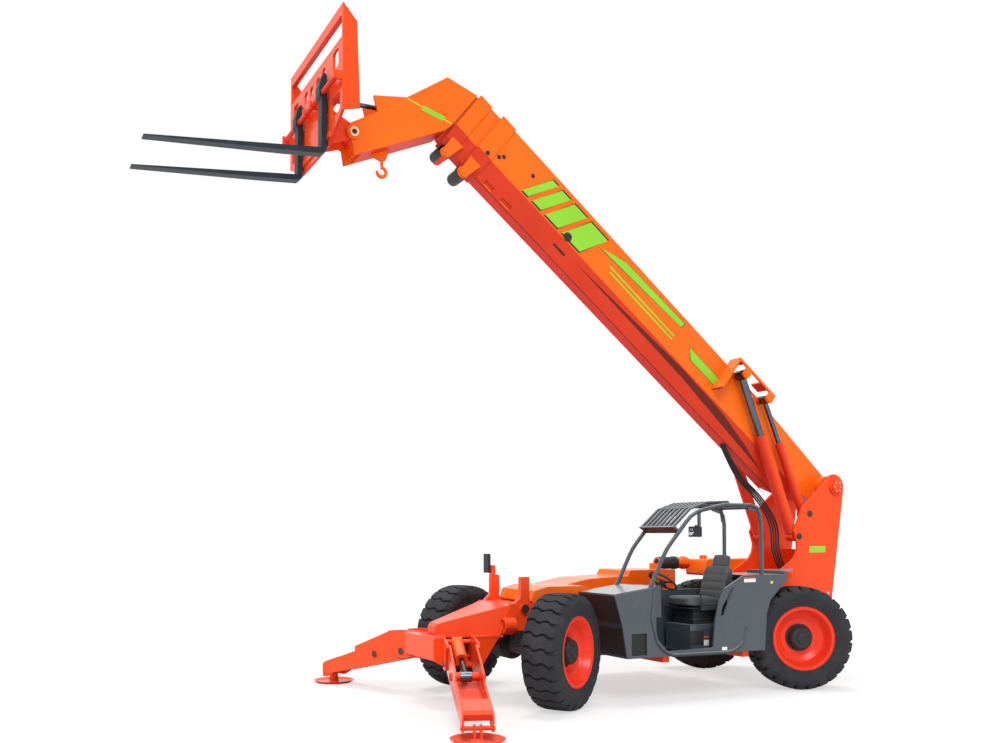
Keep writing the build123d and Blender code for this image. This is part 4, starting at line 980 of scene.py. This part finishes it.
class TELEHANDLER_OT_chassis(bpy.types.Operator):
    """Pins, caps, louvre backing, air cleaner, hood trim and blank plates"""
    bl_idname = "telehandler.chassis"
    bl_label = "Chassis"

    def execute(self, context):
        splay = math.radians(20)
        cap = [(0, 0), (0.040, 0), (0.044, 0.004), (0.044, 0.012), (0.038, 0.018), (0, 0.020)]
        for side, tag in ((1, "l"), (-1, "r")):
            along = Vector((math.cos(splay), -side * math.sin(splay), 0))
            for k, (l, z) in enumerate(((740, 560), (1270, 480))):
                for face in (-1, 1):
                    spot = out_arm(side, l, z) + along * face * (0.1885 if k == 0 else 0.1605)
                    body = "chassis" if k == 0 else "outrigger_arm_" + tag
                    piece = turned(f"arm_pin_cap_{tag}_{k}_{face}", cap,
                                   facing(spot, along * face), 28)
                    dress(smooth(piece, 40), "dark_iron", body)
            for k, (x, z) in enumerate(((-580, 1990), (-790, 2310))):
                piece = turned(f"ram_pin_cap_{tag}_{k}", cap,
                               facing(at(x, side * 455.5, z), (0, side, 0)), 28)
                dress(smooth(piece, 40), "dark_iron", "chassis")
            boss = turned("pivot_cap_" + tag, [(0, 0), (0.095, 0), (0.10, 0.005), (0.10, 0.012),
                          (0.09, 0.018), (0.03, 0.020), (0, 0.020)],
                          facing(at(-1310, side * 480.5, 2700), (0, side, 0)), 48)
            dress(smooth(boss, 40), "orange_enamel", "chassis")
            place = facing(at(-1310, side * 500, 2700), (0, side, 0))
            bolts("pivot_bolts_" + tag, ring_of(place, 6, 0.066, -0.001), 0.010, 0.012, "chassis")
            rear = [facing(at(x, side * 455.5, z), (0, side, 0))
                    for x, z in ((-1110, 1180), (-950, 1180), (-700, 1100), (-350, 1100),
                                 (0, 1060))]
            bolts("tower_bolts_" + tag, rear, 0.018, 0.016, "chassis")
            mouth = turned("nose_boss_dark_" + tag, [(0, 0), (0.066, 0), (0.066, 0.003), (0.03,
                           0.006), (0, 0.006)], facing(at(4092, side * 415, 925), (1, 0, 0)), 32)
            dress(mouth, "black_moulding", "chassis")
            knob = turned("side_cap_" + tag, [(0, 0), (0.052, 0), (0.055, 0.004), (0.050, 0.016),
                          (0, 0.018)], facing(at(3870, side * 460.5, 1120), (0, side, 0)), 32)
            dress(smooth(knob, 40), "black_moulding", "chassis")
            rail = [facing(at(x, side * 420.5, 760), (0, side, 0)) for x in
                    (700, 900, 1100, 2900, 3100)]
            if side < 0:
                rail = rail[:1] + rail[3:]
            bolts("rail_bolts_" + tag, rail, 0.016, 0.014, "chassis")

        backing = []
        for x in (1080, 1900):
            backing.append(slab("louvre_back", [(x / 1000, 0.88), ((x + 620) / 1000, 0.88),
                                                ((x + 620) / 1000, 1.30), (x / 1000, 1.30)], 0.003,
                                Matrix.Translation(Vector((REAR_AXLE_X, -1.187, 0)))
                                @ Matrix.Rotation(math.radians(90), 4, "X")))
        dress(joined(backing, "louvre_backing"), "black_moulding", "chassis")
        cleaner = turned("air_cleaner_cover", [
            (0.03, 0.0), (0.092, 0.0), (0.096, 0.006), (0.096, 0.060), (0.0885, 0.066),
            (0.0885, 0.24), (0.094, 0.246), (0.094, 0.262), (0.0885, 0.268), (0.0885, 0.330),
            (0.06, 0.342), (0.0, 0.345)], facing(at(565, -850, 1600), (1, 0, 0)), 40)
        dress(smooth(cleaner, 40), "black_moulding", "chassis")
        label("tower_plate", (-1080, 1760), (-770, 1850), 455.5, "stripe_film")
        return {"FINISHED"}


# ------------------------------------------------------------------ studio
class TELEHANDLER_OT_stage(bpy.types.Operator):
    """Pale floor, plain light and the camera"""
    bl_idname = "telehandler.stage"
    bl_label = "Stage"

    def execute(self, context):
        fresh()
        bpy.ops.mesh.primitive_plane_add(size=400, location=(0, 0, 0))
        floor = bpy.context.object
        floor.name = "studio_floor"
        material = bpy.data.materials.new("studio_white")
        material.use_nodes = True
        tree = material.node_tree
        tree.nodes.remove(tree.nodes["Principled BSDF"])
        out = tree.nodes["Material Output"]
        path = put(tree, "ShaderNodeLightPath")
        lit = put(tree, "ShaderNodeBsdfDiffuse", Color=(0.86, 0.86, 0.86, 1))
        glow = put(tree, "ShaderNodeEmission", Color=(1, 1, 1, 1), Strength=1.0)
        seen = combine(tree, "MAXIMUM", path.outputs["Is Camera Ray"],
                       path.outputs["Is Transmission Ray"])
        share = combine(tree, "MULTIPLY", seen, 0.6)
        mixed = put(tree, "ShaderNodeMixShader")
        tree.links.new(share, mixed.inputs[0])
        tree.links.new(lit.outputs[0], mixed.inputs[1])
        tree.links.new(glow.outputs[0], mixed.inputs[2])
        tree.links.new(mixed.outputs[0], out.inputs["Surface"])
        floor.data.materials.append(material)

        world = bpy.data.worlds.new("studio")
        context.scene.world = world
        world.use_nodes = True
        tree = world.node_tree
        sky = tree.nodes["Background"]
        sky.inputs["Color"].default_value = (1, 1, 1, 1)
        path = put(tree, "ShaderNodeLightPath")
        seen = combine(tree, "MAXIMUM", path.outputs["Is Camera Ray"],
                       path.outputs["Is Glossy Ray"])
        seen = combine(tree, "MAXIMUM", seen, path.outputs["Is Transmission Ray"])
        tree.links.new(remap(tree, seen, 0.0, 1.0, 0.58, 1.0), sky.inputs["Strength"])

        # name, energy, softness in degrees, tilt from overhead, bearing
        lamps = [("key", 1.5, 25, 50, 155), ("fill", 0.4, 60, 60, 75), ("top", 1.5, 20, 6, 0)]
        for name, energy, spread, tilt, bearing in lamps:
            bpy.ops.object.light_add(type="SUN", location=(0, 0, 12))
            lamp = bpy.context.object
            lamp.name = name
            lamp.data.energy = energy
            lamp.data.angle = math.radians(spread)
            lamp.rotation_euler = (math.radians(tilt), 0, math.radians(bearing))

        bpy.ops.object.camera_add(location=(REAR_AXLE_X + 9.749, 10.701, 2.002),
                                  rotation=(math.radians(93.12), 0, math.radians(153.8)))
        camera = bpy.context.object
        camera.data.lens = 35.40
        camera.data.sensor_width = 36
        camera.data.shift_x = 0.0334
        camera.data.shift_y = 0.1118
        camera.data.clip_end = 500
        context.scene.camera = camera
        context.scene.view_settings.view_transform = "Standard"
        return {"FINISHED"}


class VIEW3D_PT_telehandler(bpy.types.Panel):
    """The steps that dress the machine"""
    bl_label = "Telehandler"
    bl_space_type = "VIEW_3D"
    bl_region_type = "UI"
    bl_category = "Telehandler"

    def draw(self, context):
        for step in STEPS:
            self.layout.operator(step.bl_idname)


STEPS = (TELEHANDLER_OT_finishes, TELEHANDLER_OT_wheels, TELEHANDLER_OT_cab,
         TELEHANDLER_OT_boom, TELEHANDLER_OT_chassis, TELEHANDLER_OT_stage)
CLASSES = (TelehandlerFinishes, *STEPS, VIEW3D_PT_telehandler)


def register():
    for item in CLASSES:
        bpy.utils.register_class(item)
    bpy.types.Scene.telehandler_finishes = bpy.props.PointerProperty(type=TelehandlerFinishes)


def unregister():
    del bpy.types.Scene.telehandler_finishes
    for item in reversed(CLASSES):
        bpy.utils.unregister_class(item)


def main():
    register()
    for step in STEPS:
        getattr(bpy.ops.telehandler, step.bl_idname.split(".")[1])()


if __name__ == "__main__":
    main()
